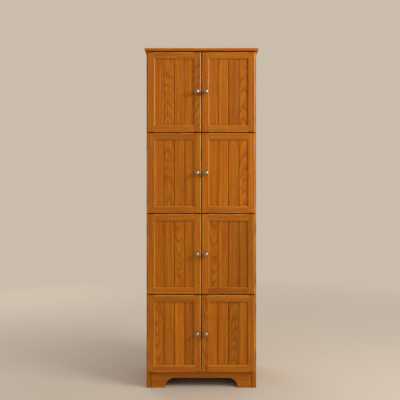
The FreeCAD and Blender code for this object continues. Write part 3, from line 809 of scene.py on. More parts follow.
@dataclass
class Member:
    """Stile or rail of a door, rounded along both front edges and grooved for the panel.

    Attributes:
        size: length, width from the door's outer edge, and thickness.
        placing: where it goes; its width runs in from the outer edge, its thickness from the face.
        timber: what it is sawn from.
        end: shape of its two ends.
        bend: radius of the front edges.
        step: square step behind the inner rounding.
        groove: depth and width of the panel's groove.
        arris: chamfer of the back edges.
        hold: width of the flat margin beside a rounding.
        facets: how many facets make up a rounding.
        inner_wear: wear and painted highlight of the inner rounding, beside those of the outer one.
    """

    size: Vector
    placing: Placing
    timber: Timber
    end: MemberEnd
    bend: float = 5.5 * MM
    step: float = 1.2 * MM
    groove: Pair = (10 * MM, 9.3 * MM)
    arris: float = 0.6 * MM
    hold: float = 3 * MM
    facets: int = 6
    inner_wear: float = 0.75

    def build(self, shell: Shell) -> None:
        """Add the member to a shell."""
        shell.start(self.placing, self.timber)
        shell.solid(self._rounded() if self.end is MemberEnd.ROUNDED else self._coped())

    def _section(self, clip: float) -> list[Spot]:
        """Section whose front is cut away to the depth of the rounding at an angle.

        Args:
            clip: angle of the end's rounding, 0 along the member's length.

        Returns:
            The section's vertices, all at the start of the member.
        """
        bend, arris, width, back = self.bend, self.arris, self.size.y, self.size.z
        turns = angles(self.facets, SQUARE, clip)
        # Each rounding's wear, which also paints a pale highlight, peaks halfway round it.
        shoulder = [
            (bend * (1 - math.sin(turn)), bend * (1 - math.cos(turn)), math.sin(2 * turn)) for turn in turns
        ]
        flat, front, _ = shoulder[-1]
        lip = bend + self.step
        depth, slot = self.groove
        # Painted shade: the steep part of the outer rounding, at the door's edge, takes the dark joint
        # colour.
        grime = [max(0.0, 2 * turn / SQUARE - 1) for turn in turns]
        marks = [(*mark, dirt) for mark, dirt in zip(shoulder, grime)]
        marks += [(flat + self.hold, front), (width - flat - self.hold, front)]
        # The inner rounding takes a share of that wear and painted highlight, and none of the painted shade.
        marks += [
            (width - across, through, self.inner_wear * worn) for across, through, worn in reversed(shoulder)
        ]
        grooved = ((width, lip), (width - depth, lip), (width - depth, lip + slot))
        marks += [(*place, 0.0, 1.0) for place in grooved]
        marks += [
            (width, lip + slot),
            (width, back - arris),
            (width - arris, back),
            (width - arris - self.hold, back),
            (arris + self.hold, back),
            (arris, back),
            (0.0, back - arris),
        ]
        return section(marks)

    def _rounded(self) -> list[list[Spot]]:
        """Sections with the front rounded over at both ends.

        Returns:
            The sections from end to end.
        """
        starts = [(self.bend * (1 - math.sin(turn)), turn) for turn in angles(self.facets, SQUARE, 0.0)]
        starts.append((self.bend + self.hold, 0.0))
        stations = starts + [(self.size.x - along, turn) for along, turn in reversed(starts)]
        return [shifted(self._section(turn), along) for along, turn in stations]

    def _coped(self) -> list[list[Spot]]:
        """Sections with the ends drawn out over the roundings beside them.

        Returns:
            The sections from end to end.
        """
        length, bend = self.size.x, self.bend
        rings = []
        for along, out in ((0.0, -1.0), (bend, 0.0), (length - bend, 0.0), (length, 1.0)):
            ring = []
            for spot in self._section(0.0):
                rise = max(bend - spot.at.z, 0.0)
                reach = out * (bend - math.sqrt(bend ** 2 - rise ** 2))
                ring += shifted([spot], along + reach)
            rings.append(ring)
        return rings


@dataclass
class Plank:
    """Panel plank with bevelled, tongued and grooved edges.

    Attributes:
        size: length, pitch from plank to plank, and thickness.
        placing: where it goes; its thickness runs back from its face.
        timber: what it is sawn from.
        first: whether its near edge is hidden in the stile.
        last: whether its far edge is hidden in the stile.
        bevel: width of the bevel at a joint.
        gap: space left at a joint.
        tongue: the tongue's front, thickness and length.
        play: space around the tongue in its groove.
        arris: how far wear has rounded the bevel's edge.
        crest: depth of the middle of that rounding, in its radii.
        rubbed: wear before, on and behind the bevel's edge, which also paints a pale highlight there.
        stain: how much stain has collected at the top of the bevel.
        hold: width of the flat margin beside the bevel.
        hidden: width of the flat margin beside a hidden edge.
    """

    size: Vector
    placing: Placing
    timber: Timber
    first: bool
    last: bool
    bevel: float = 2.5 * MM
    gap: float = 0.3 * MM
    tongue: Triple = (3.2 * MM, 3 * MM, 5 * MM)
    play: float = 0.15 * MM
    arris: float = 0.5 * MM
    crest: float = 0.2
    rubbed: Triple = (0.1, 0.5, 0.2)
    stain: float = 0.35
    hold: float = 2.5 * MM
    hidden: float = 10 * MM

    def build(self, shell: Shell) -> None:
        """Add the plank to a shell."""
        shell.start(self.placing, self.timber)
        shell.solid(shifted(self._section(), along) for along in (0.0, self.size.x))

    def _edge(self, hidden: bool, tongued: bool) -> list[Spot]:
        """One edge from the back to the face, with the plank's middle on the positive side.

        Args:
            hidden: whether the edge is plain, because the stile's groove hides it.
            tongued: whether the joint's tongue is on this edge, and not its groove.

        Returns:
            The edge's vertices, at the start of the plank.
        """
        back, arris, bevel = self.size.z, self.arris, self.bevel
        if hidden:
            return section(((0.0, back), (0.0, 0.0), (self.hidden, 0.0)))
        front, thick, length = self.tongue
        play = 0.0 if tongued else self.play
        reach = -length if tongued else length + self.play
        before, on, behind = self.rubbed
        joint = (
            (0.0, back - arris),
            (0.0, front + thick + play),
            (reach, front + thick + play),
            (reach, front - play),
            (0.0, front - play),
            (0.0, bevel),
        )
        # The bevel's edge carries wear, which also paints a pale highlight, and stain collects at its top.
        return section((
            (arris, back),
            *((*place, 0.0, 1.0) for place in joint),
            (bevel - arris, arris, before, self.stain),
            (bevel, self.crest * arris, on),
            (bevel + arris, 0.0, behind),
            (bevel + arris + self.hold, 0.0),
        ))

    def _section(self) -> list[Spot]:
        """Whole section, with the groove on the near edge and the tongue on the far one.

        Returns:
            The section's vertices, at the start of the plank.
        """
        width = self.size.y - (0.0 if self.last else self.gap)
        far = []
        for spot in reversed(self._edge(self.last, True)):
            far.append(replace(spot, at=Vector((0.0, width - spot.at.y, spot.at.z))))
        return self._edge(self.first, False) + far


Shape = Board | Cutout | Turning | Screw | Member | Plank


def math_operator(
    operation: str, reflected: bool = False
) -> Callable[["Signal", "Signal | float"], "Signal"]:
    """Operator on values that adds one Math node.

    Args:
        operation: operation of the node.
        reflected: whether the other value comes first.

    Returns:
        The operator, as a method of Signal.
    """

    def apply(self: "Signal", other: "Signal | float") -> "Signal":
        """Result of the node."""
        first, second = (other, self) if reflected else (self, other)
        return self.tree.node("ShaderNodeMath", {"operation": operation}, {0: first, 1: second})

    return apply


@dataclass(frozen=True)
class Signal:
    """Output of a shader node, which takes part in Python's arithmetic.

    Attributes:
        tree: tree that holds the node.
        socket: the output.
    """

    tree: "ShaderTree"
    socket: bpy.types.NodeSocket

    __add__, __radd__ = math_operator("ADD"), math_operator("ADD", reflected=True)
    __sub__, __rsub__ = math_operator("SUBTRACT"), math_operator("SUBTRACT", reflected=True)
    __mul__, __rmul__ = math_operator("MULTIPLY"), math_operator("MULTIPLY", reflected=True)
    __truediv__, __rtruediv__ = math_operator("DIVIDE"), math_operator("DIVIDE", reflected=True)
    __pow__, __rpow__ = math_operator("POWER"), math_operator("POWER", reflected=True)


Feed = Signal | float | Sequence[float]


class ShaderTree:
    """Nodes of one material or world.

    Attributes:
        nodes: the tree's nodes.
        links: the links between them.
    """

    NOISE_ROUGHNESS = 0.55
    MIX_FIRST, MIX_SECOND, MIX_RESULT = 6, 7, 2

    def __init__(self, owner: bpy.types.Material | bpy.types.World) -> None:
        """Empty the owner's tree.

        Args:
            owner: material or world that the tree belongs to.
        """
        owner.use_nodes = True
        self.nodes = owner.node_tree.nodes
        self.links = owner.node_tree.links
        self.nodes.clear()

    def node(
        self,
        kind: str,
        settings: dict[str, object] | None = None,
        feeds: dict[str | int, Feed] | None = None,
        output: str | int = 0,
    ) -> Signal:
        """Add one node.

        Args:
            kind: type of the node.
            settings: its properties, which are set first; stops are those of a colour ramp.
            feeds: values or links of its sockets.
            output: which output to hand back.

        Returns:
            That output.
        """
        made = self.nodes.new(kind)
        for name, setting in (settings or {}).items():
            if name == "stops":
                self._set_stops(made.color_ramp, setting)
            else:
                setattr(made, name, setting)
        for name, feed in (feeds or {}).items():
            if isinstance(feed, Signal):
                self.links.new(feed.socket, made.inputs[name])
            else:
                made.inputs[name].default_value = feed
        return Signal(self, made.outputs[output]) if made.outputs else Signal(self, made.inputs[0])

    def _set_stops(self, ramp: bpy.types.ColorRamp, stops: Stops) -> None:
        """Give a ramp its grey stops.

        Args:
            ramp: the ramp.
            stops: place and grey of each stop.
        """
        while len(ramp.elements) < len(stops):
            ramp.elements.new(1.0)
        for element, (place, grey) in zip(ramp.elements, stops):
            element.position = place
            element.color = (grey, grey, grey, 1.0)

    def attribute(self, name: str) -> Signal:
        """Vector that the mesh holds at its corners."""
        return self.node("ShaderNodeAttribute", {"attribute_name": name}, output="Vector")

    def object_place(self) -> Signal:
        """Place in the object's own coordinates."""
        return self.node("ShaderNodeTexCoord", output="Object")

    def split(self, vector: Signal) -> tuple[Signal, Signal, Signal]:
        """Three parts of a vector."""
        parts = self.node("ShaderNodeSeparateXYZ", {}, {0: vector}).socket.node.outputs
        return tuple(Signal(self, part) for part in parts)

    def noise(
        self, vector: Signal, factors: Sequence[float], detail: float = 2.0, output: str | int = 0
    ) -> Signal:
        """Noise on a stretched vector.

        Args:
            vector: place to read.
            factors: how many spots lie in a metre along each part.
            detail: how many finer layers are added.
            output: 0 for a value, Color for a colour.

        Returns:
            The noise, around a half.
        """
        stretched = {0: vector, 1: factors}
        place = self.node("ShaderNodeVectorMath", {"operation": "MULTIPLY"}, stretched)
        feeds = {"Vector": place, "Scale": 1.0, "Detail": detail, "Roughness": self.NOISE_ROUGHNESS}
        return self.node("ShaderNodeTexNoise", {"noise_dimensions": "3D"}, feeds, output)

    def ramp(self, value: Signal, stops: Stops) -> Signal:
        """Grey that a ramp gives for a value."""
        return self.node("ShaderNodeValToRGB", {"stops": stops}, {0: value})

    def mix(self, factor: Feed, first: Feed, second: Feed, blend: str = "MIX") -> Signal:
        """Colour between two.

        Args:
            factor: 0 for the first, 1 for the second.
            first: first colour.
            second: second colour.
            blend: how the second is laid over the first.

        Returns:
            The mixed colour.
        """
        settings = {"data_type": "RGBA", "blend_type": blend, "clamp_factor": True}
        feeds = {0: factor, self.MIX_FIRST: self._opaque(first), self.MIX_SECOND: self._opaque(second)}
        return self.node("ShaderNodeMix", settings, feeds, self.MIX_RESULT)

    def _opaque(self, colour: Feed) -> Feed:
        """Colour with an alpha of one, if it is given in numbers."""
        return colour if isinstance(colour, Signal) else (*colour, 1.0)

    def bump(self, height: Signal, distance: float, strength: float) -> Signal:
        """Normal of a surface with fine relief."""
        feeds = {"Height": height, "Distance": distance, "Strength": strength}
        return self.node("ShaderNodeBump", {}, feeds)

    def surface(self, feeds: dict[str | int, Feed]) -> Signal:
        """Surface shader with the given sockets."""
        return self.node("ShaderNodeBsdfPrincipled", {}, feeds)

    def seen(self) -> Signal:
        """1 where the camera looks, directly, in a mirror or through glass, and 0 for other light.

        Returns:
            The three kinds of ray added up.
        """
        path = self.node("ShaderNodeLightPath")
        rays = path.socket.node.outputs
        return path + Signal(self, rays["Is Glossy Ray"]) + Signal(self, rays["Is Transmission Ray"])


class Grain(Enum):
    """Patterns in timber: spots in a metre along and across the grain, and layers of finer ones."""

    DRIFT = (1.6, 11.0, 2.0)
    TREMOR = (9.0, 60.0, 2.0)
    FIBRE = (6.0, 230.0, 3.0)
    STREAK = (2.6, 85.0, 2.0)
    FIGURE = (1.2, 17.0, 2.0)
    FLECK = (16.0, 150.0, 2.0)
    PORE = (80.0, 900.0, 1.0)
    RUB = (14.0, 60.0, 2.0)
    DOWEL_FLECK = (120.0, 900.0, 1.0)
    DOWEL_CLOUD = (15.0, 60.0, 2.0)

    def noise(self, tree: ShaderTree, place: Signal, output: str | int = 0) -> Signal:
        """Noise with this pattern at a place in the timber."""
        along, across, detail = self.value
        return tree.noise(place, (along, across, across), detail, output)


EARLY_WOOD: Stops = ((0.0, 0.35), (0.08, 1.0), (0.34, 0.30), (0.8, 0.0), (1.0, 0.35))
OPEN_PORES: Stops = ((0.52, 0.0), (0.68, 1.0))
TONES: Stops = ((0.0, 0.74), (0.5, 0.92), (1.0, 1.08))
RUBBED_PATCHES: Stops = ((0.35, 0.25), (0.65, 1.0))
DULL_PATCHES: Stops = ((0.35, 0.0), (0.7, 1.0))
DOWEL_FLECKS: Stops = ((0.55, 0.0), (0.7, 1.0))
FLOOR_FADE: Stops = ((0.06, 0.0), (0.36, 1.0))


@dataclass(frozen=True)
class Finish:
    """Finish of a surface.

    Attributes:
        name: name of its material.
        slot: the record's material slot that it stands for; not used.
    """

    name: str
    slot: str

    def paint(self, tree: ShaderTree) -> Signal:
        """Add the finish's nodes to an empty tree, and hand back their shader."""
        raise NotImplementedError

    def material(self) -> bpy.types.Material:
        """Find the finish's material, or make it on first use.

        Returns:
            The material.
        """
        found = bpy.data.materials.get(self.name)
        if found is None:
            found = bpy.data.materials.new(self.name)
            tree = ShaderTree(found)
            tree.node("ShaderNodeOutputMaterial", {}, {"Surface": self.paint(tree)})
        return found


@dataclass(frozen=True)
class WoodFinish(Finish):
    """Stained and lacquered timber with growth rings and pores.

    Attributes:
        light: colour of the palest fibres.
        body: colour of the timber between rings.
        ring: colour of the porous early wood.
        pore: colour of the pores.
        settled: colour of stain that collects in joints, also painted as shade on the steep outer roundings
            of door members.
        rubbed: pale golden colour of edges with wear, which also paints a highlight along them.
        ring_width: width of a year's growth.
        ring_depth: how strongly the rings show.
        pore_depth: how strongly the pores show.
        roughness: roughness of the bare face.
        coat: weight of the lacquer.
        wander: how far the rings wander from circles.
        pace: changes of growth in a metre of radius, and the years by which they move the rings.
        tremble: years by which the rings tremble.
        paleness: shares of fibres, streaks and figure in the pale colour, and where it starts.
        broken: share of the flecks that break up the rings, and where they start.
        late_pores: share of the pores that stay in late wood.
        stain: how strongly the colour of joint stain and of painted shade shows.
        rubbing: power and strength of the pale colour of wear and painted highlight.
        relief: height of the fibres, and depth of the pores and of the rings.
        bump: depth of the whole relief, and its strength.
        sheen: what pores and figure add to the roughness, and what wear takes away.
        polish: lacquer added on edges with wear.
    """

    light: Colour
    body: Colour
    ring: Colour
    pore: Colour
    settled: Colour
    rubbed: Colour
    ring_width: float = 4.0 * MM
    ring_depth: float = 0.58
    pore_depth: float = 0.75
    roughness: float = 0.42
    coat: float = 0.12
    wander: float = 11 * MM
    pace: Pair = (55.0, 2.8)
    tremble: float = 0.7
    paleness: tuple[float, float, float, float] = (1.6, 1.9, 0.4, 1.45)
    broken: Pair = (2.2, 0.35)
    late_pores: float = 0.25
    stain: float = 0.75
    rubbing: Pair = (3.0, 0.75)
    relief: Triple = (0.35, 0.8, 0.25)
    bump: Pair = (0.25 * MM, 0.4)
    sheen: Triple = (0.18, 0.1, 0.08)
    polish: float = 0.45

    def _early_wood(self, tree: ShaderTree, place: Signal) -> Signal:
        """Add the growth rings.

        Args:
            tree: tree of the material.
            place: place in the timber.

        Returns:
            1 in the porous wood that starts a year, and 0 late in the year.
        """
        drift = Grain.DRIFT.noise(tree, place, "Color")
        bend = {0: drift, 1: (0.0, self.wander, self.wander), 2: place}
        bent = tree.node("ShaderNodeVectorMath", {"operation": "MULTIPLY_ADD"}, bend)
        _, across, through = tree.split(bent)
        radius = (across * across + through * through) ** 0.5
        changes, years_moved = self.pace
        growth = {"W": radius, "Scale": changes, "Detail": 1.0}
        pace = tree.node("ShaderNodeTexNoise", {"noise_dimensions": "1D"}, growth)
        tremor = Grain.TREMOR.noise(tree, place)
        years = radius / self.ring_width + pace * years_moved + tremor * self.tremble
        season = tree.node("ShaderNodeMath", {"operation": "FRACT"}, {0: years})
        return tree.ramp(season, EARLY_WOOD)

    def paint(self, tree: ShaderTree) -> Signal:
        """Add growth rings, fibres, pores, tone, stain and painted shade, wear and painted highlight, and
        relief.

        Args:
            tree: empty tree of the material.

        Returns:
            The finish's shader.
        """
        place = tree.attribute("log_at")
        worn, gathered, tone = tree.split(tree.attribute("touch"))
        early = self._early_wood(tree, place)
        patterns = (Grain.FIBRE, Grain.STREAK, Grain.FIGURE, Grain.FLECK)
        fibre, streak, figure, flecks = (pattern.noise(tree, place) for pattern in patterns)
        pores = tree.ramp(Grain.PORE.noise(tree, place), OPEN_PORES)
        porous = pores * (self.late_pores + (1 - self.late_pores) * early)
        patchy = tree.ramp(Grain.RUB.noise(tree, place), RUBBED_PATCHES)
        fibres, streaks, figures, start = self.paleness
        pale = fibre * fibres + streak * streaks + figure * figures - start
        timber = tree.mix(pale, self.body, self.light)
        share, start = self.broken
        ringed = tree.mix(early * self.ring_depth * (flecks * share - start), timber, self.ring)
        pored = tree.mix(porous * self.pore_depth, ringed, self.pore)
        toned = tree.mix(1.0, pored, tree.ramp(tone, TONES), "MULTIPLY")
        # Painted shade: joints where stain collects and the steep outer roundings of door members take the
        # dark joint colour.
        stained_and_shaded = tree.mix(gathered * self.stain, toned, self.settled)
        # Painted highlight: edges with wear are painted pale golden, as wear and as a highlight.
        power, strength = self.rubbing
        rubbed = tree.mix(worn ** power * patchy * strength, stained_and_shaded, self.rubbed)
        high, deep, groove = self.relief
        relief = fibre * high - porous * deep - early * groove
        open_grain, cloudy, clean = self.sheen
        rough = self.roughness + porous * open_grain + figure * cloudy - worn * patchy * clean
        return tree.surface({
            "Base Color": rubbed,
            "Roughness": rough,
            "Normal": tree.bump(relief, *self.bump),
            "Specular IOR Level": 0.16,
            "Specular Tint": (1.0, 0.72, 0.4, 1.0),
            "Coat Weight": self.coat + worn * self.polish,
            "Coat Roughness": 0.3,
        })


@dataclass(frozen=True)
class MetalFinish(Finish):
    """Plated or ground metal.

    Attributes:
        bright: colour where wear has cleaned it.
        dull: colour where it has dulled.
        roughness: roughness of the clean metal.
        lines: how many brushed lines lie in a metre along, across and through a piece.
        varied: whether the roughness and the relief follow those lines.
        patches: how many dull patches lie in a metre.
        dulling: how far patches and dirt dull it, and how far wear brightens it.
        line_depth: how strongly the brushed lines show.
        spread: what dulling and lines add to a varied roughness.
        bump: depth of the lines, and their strength.
    """

    bright: Colour
    dull: Colour
    roughness: float = 0.3
    lines: Triple = (2500.0, 150.0, 150.0)
    varied: bool = False
    patches: float = 160.0
    dulling: Triple = (0.55, 0.6, 0.4)
    line_depth: float = 0.25
    spread: Pair = (0.12, 0.08)
    bump: Pair = (0.05 * MM, 0.25)

    def paint(self, tree: ShaderTree) -> Signal:
        """Add dull patches, brushed lines and dirt in the corners.

        Args:
            tree: empty tree of the material.

        Returns:
            The finish's shader.
        """
        place = tree.attribute("log_at")
        worn, gathered, _ = tree.split(tree.attribute("touch"))
        patches = tree.ramp(tree.noise(place, (self.patches,) * 3, detail=3.0), DULL_PATCHES)
        brushed = tree.noise(place, self.lines)
        patched, dirty, clean = self.dulling
        dulled = patches * patched + gathered * dirty - worn * clean
        colour = tree.mix(dulled, self.bright, self.dull)
        feeds: dict[str | int, Feed] = {
            "Base Color": tree.mix(brushed * self.line_depth, colour, self.dull),
            "Metallic": 1.0,
            "Roughness": self.roughness,
        }
        if self.varied:
            dull_spread, line_spread = self.spread
            feeds["Roughness"] = self.roughness + dulled * dull_spread + brushed * line_spread
            feeds["Normal"] = tree.bump(brushed, *self.bump)
        return tree.surface(feeds)


@dataclass(frozen=True)
class MouldedFinish(Finish):
    """Moulded plastic with a fine sparked skin.

    Attributes:
        colour: colour of the plastic.
        scuffed: colour where wear has scuffed it.
        darkening: colour of dirt in the corners and in the skin's hollows.
        skin: how many spots of the skin lie in a metre.
        clouds: how many paler clouds lie in a metre.
        scuffing: how far wear and clouds scuff it.
        dirt: how strongly dirt and the skin's hollows show.
        rough: roughness of the smooth skin, and what its spots add.
    """

    colour: Colour
    scuffed: Colour
    grime: Colour = (0.02, 0.012, 0.008)
    skin: float = 900.0
    clouds: float = 40.0
    scuffing: Pair = (0.5, 0.3)
    dirt: Pair = (0.5, 0.15)
    rough: Pair = (0.5, 0.15)

    def paint(self, tree: ShaderTree) -> Signal:
        """Add a mottled skin and rubbed edges.

        Args:
            tree: empty tree of the material.

        Returns:
            The finish's shader.
        """
        place = tree.attribute("log_at")
        worn, gathered, _ = tree.split(tree.attribute("touch"))
        skin, cloud = (tree.noise(place, (spots,) * 3) for spots in (self.skin, self.clouds))
        wear, mottle = self.scuffing
        colour = tree.mix(worn * wear + cloud * mottle, self.colour, self.scuffed)
        corners, hollows = self.dirt
        smooth, spots = self.rough
        return tree.surface({
            "Base Color": tree.mix(gathered * corners + skin * hollows, colour, self.grime),
            "Roughness": smooth + skin * spots,
        })


@dataclass(frozen=True)
class DowelFinish(Finish):
    """Bare close-grained timber of the hidden dowels, read from the object's own coordinates.

    Attributes:
        pale: colour of the timber.
        fleck: colour of its flecks.
        shares: how strongly flecks and clouds show.
    """

    pale: Colour
    fleck: Colour
    shares: Pair = (0.6, 0.3)

    def paint(self, tree: ShaderTree) -> Signal:
        """Add short flecks along the dowels.

        Args:
            tree: empty tree of the material.

        Returns:
            The finish's shader.
        """
        place = tree.object_place()
        flecks = tree.ramp(Grain.DOWEL_FLECK.noise(tree, place), DOWEL_FLECKS)
        cloud = Grain.DOWEL_CLOUD.noise(tree, place)
        flecked, cloudy = self.shares
        colour = tree.mix(flecks * flecked + cloud * cloudy, self.pale, self.fleck)
        return tree.surface({"Base Color": colour, "Roughness": 0.65})


@dataclass(frozen=True)
class FloorFinish(Finish):
    """Plain pale studio floor, which runs into the backdrop far from the cabinet.

    Attributes:
        colour: colour of the floor.
        shade: colour of its faint patches.
        backdrop: colour that it runs into.
        patches: how many patches lie in a metre.
        span: distance that the places of the fade's stops are parts of.
    """

    colour: Colour
    shade: Colour
    backdrop: Colour
    patches: float = 1.5
    span: float = 10.0

    def paint(self, tree: ShaderTree) -> Signal:
        """Add a faint unevenness, and the backdrop's colour for the camera far out.

        Args:
            tree: empty tree of the material.

        Returns:
            The finish's shader.
        """
        place = tree.object_place()
        colour = tree.mix(tree.noise(place, (self.patches,) * 3, detail=3.0), self.colour, self.shade)
        near = tree.surface({"Base Color": colour, "Roughness": 0.8, "Specular IOR Level": 0.0})
        far = tree.node("ShaderNodeEmission", {}, {"Color": (*self.backdrop, 1.0)})
        distance = tree.node("ShaderNodeVectorMath", {"operation": "LENGTH"}, {0: place}, "Value")
        fade = tree.ramp(distance / self.span, FLOOR_FADE) * tree.seen()
        return tree.node("ShaderNodeMixShader", {}, {0: fade, 1: near, 2: far})


BACKDROP: Colour = (0.60, 0.51, 0.41)
# The oak's dark joint colour also paints shade at door edges, and its pale golden edge colour also paints
# highlights.
OAK = WoodFinish(
    "honey_oak",
    "oak",
    light=(0.57, 0.208, 0.009),
    body=(0.455, 0.094, 0.004),
    ring=(0.22, 0.042, 0.0015),
    pore=(0.10, 0.017, 0.001),
    settled=(0.05, 0.010, 0.001),
    rubbed=(0.86, 0.50, 0.12),
)
# The plywood's pale edge colour also paints highlights along its edges.
PLYWOOD = WoodFinish(
    "sealed_plywood",
    "oak_ply",
    light=(0.60, 0.285, 0.092),
    body=(0.49, 0.205, 0.056),
    ring=(0.36, 0.130, 0.031),
    pore=(0.21, 0.070, 0.016),
    settled=(0.16, 0.055, 0.014),
    rubbed=(0.68, 0.38, 0.15),
    ring_width=9 * MM,
    roughness=0.55,
    coat=0.1,
)
NICKEL = MetalFinish(
    "dulled_nickel", "nickel", bright=(0.42, 0.36, 0.28), dull=(0.17, 0.138, 0.10), varied=True
)
PLATED = MetalFinish(
    "plated_steel", "hinge_steel", bright=(0.30, 0.28, 0.255), dull=(0.16, 0.148, 0.135), roughness=0.55
)
GROUND = MetalFinish(
    "ground_steel",
    "magnet_steel",
    bright=(0.34, 0.34, 0.35),
    dull=(0.15, 0.15, 0.15),
    roughness=0.38,
    lines=(150.0, 150.0, 2500.0),
)
PLASTIC = MouldedFinish(
    "brown_plastic", "catch_plastic", colour=(0.17, 0.08, 0.038), scuffed=(0.26, 0.14, 0.075)
)
BEECH = DowelFinish("bare_beech", "beech", pale=(0.62, 0.40, 0.21), fleck=(0.40, 0.22, 0.10))
FLOOR = FloorFinish(
    "studio_floor", "", colour=(0.62, 0.55, 0.46), shade=(0.58, 0.51, 0.43), backdrop=BACKDROP
)


@dataclass
class Assembly:
    """Pieces that ride on one body.

    Attributes:
        body: name of the body.
        finishes: finishes of each built piece.
        pieces: object of each built piece.
    """

    body: str
    finishes: dict[str, tuple[Finish, ...]] = field(default_factory=dict, init=False)
    pieces: dict[str, bpy.types.Object] = field(default_factory=dict, init=False)

    def add(self, node: str, shapes: Iterable[Shape], *finishes: Finish) -> None:
        """Build shapes into one piece that stands for a CAD node.

        Args:
            node: the node.
            shapes: what the piece consists of.
            finishes: its finishes, in the order of the material indices of its faces.
        """
        shell = Shell()
        for shape in shapes:
            shape.build(shell)
        piece = shell.make(f"{node}_piece")
        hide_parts(node)
        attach(piece, self.body)
        self.pieces[node] = piece
        self.finishes[node] = finishes
        LOG.info("%s: %d faces on %s", piece.name, len(shell.faces), self.body)

    def dress(self) -> None:
        """Give every piece its finishes."""
        for node, piece in self.pieces.items():
            for finish in self.finishes[node]:
                piece.data.materials.append(finish.material())


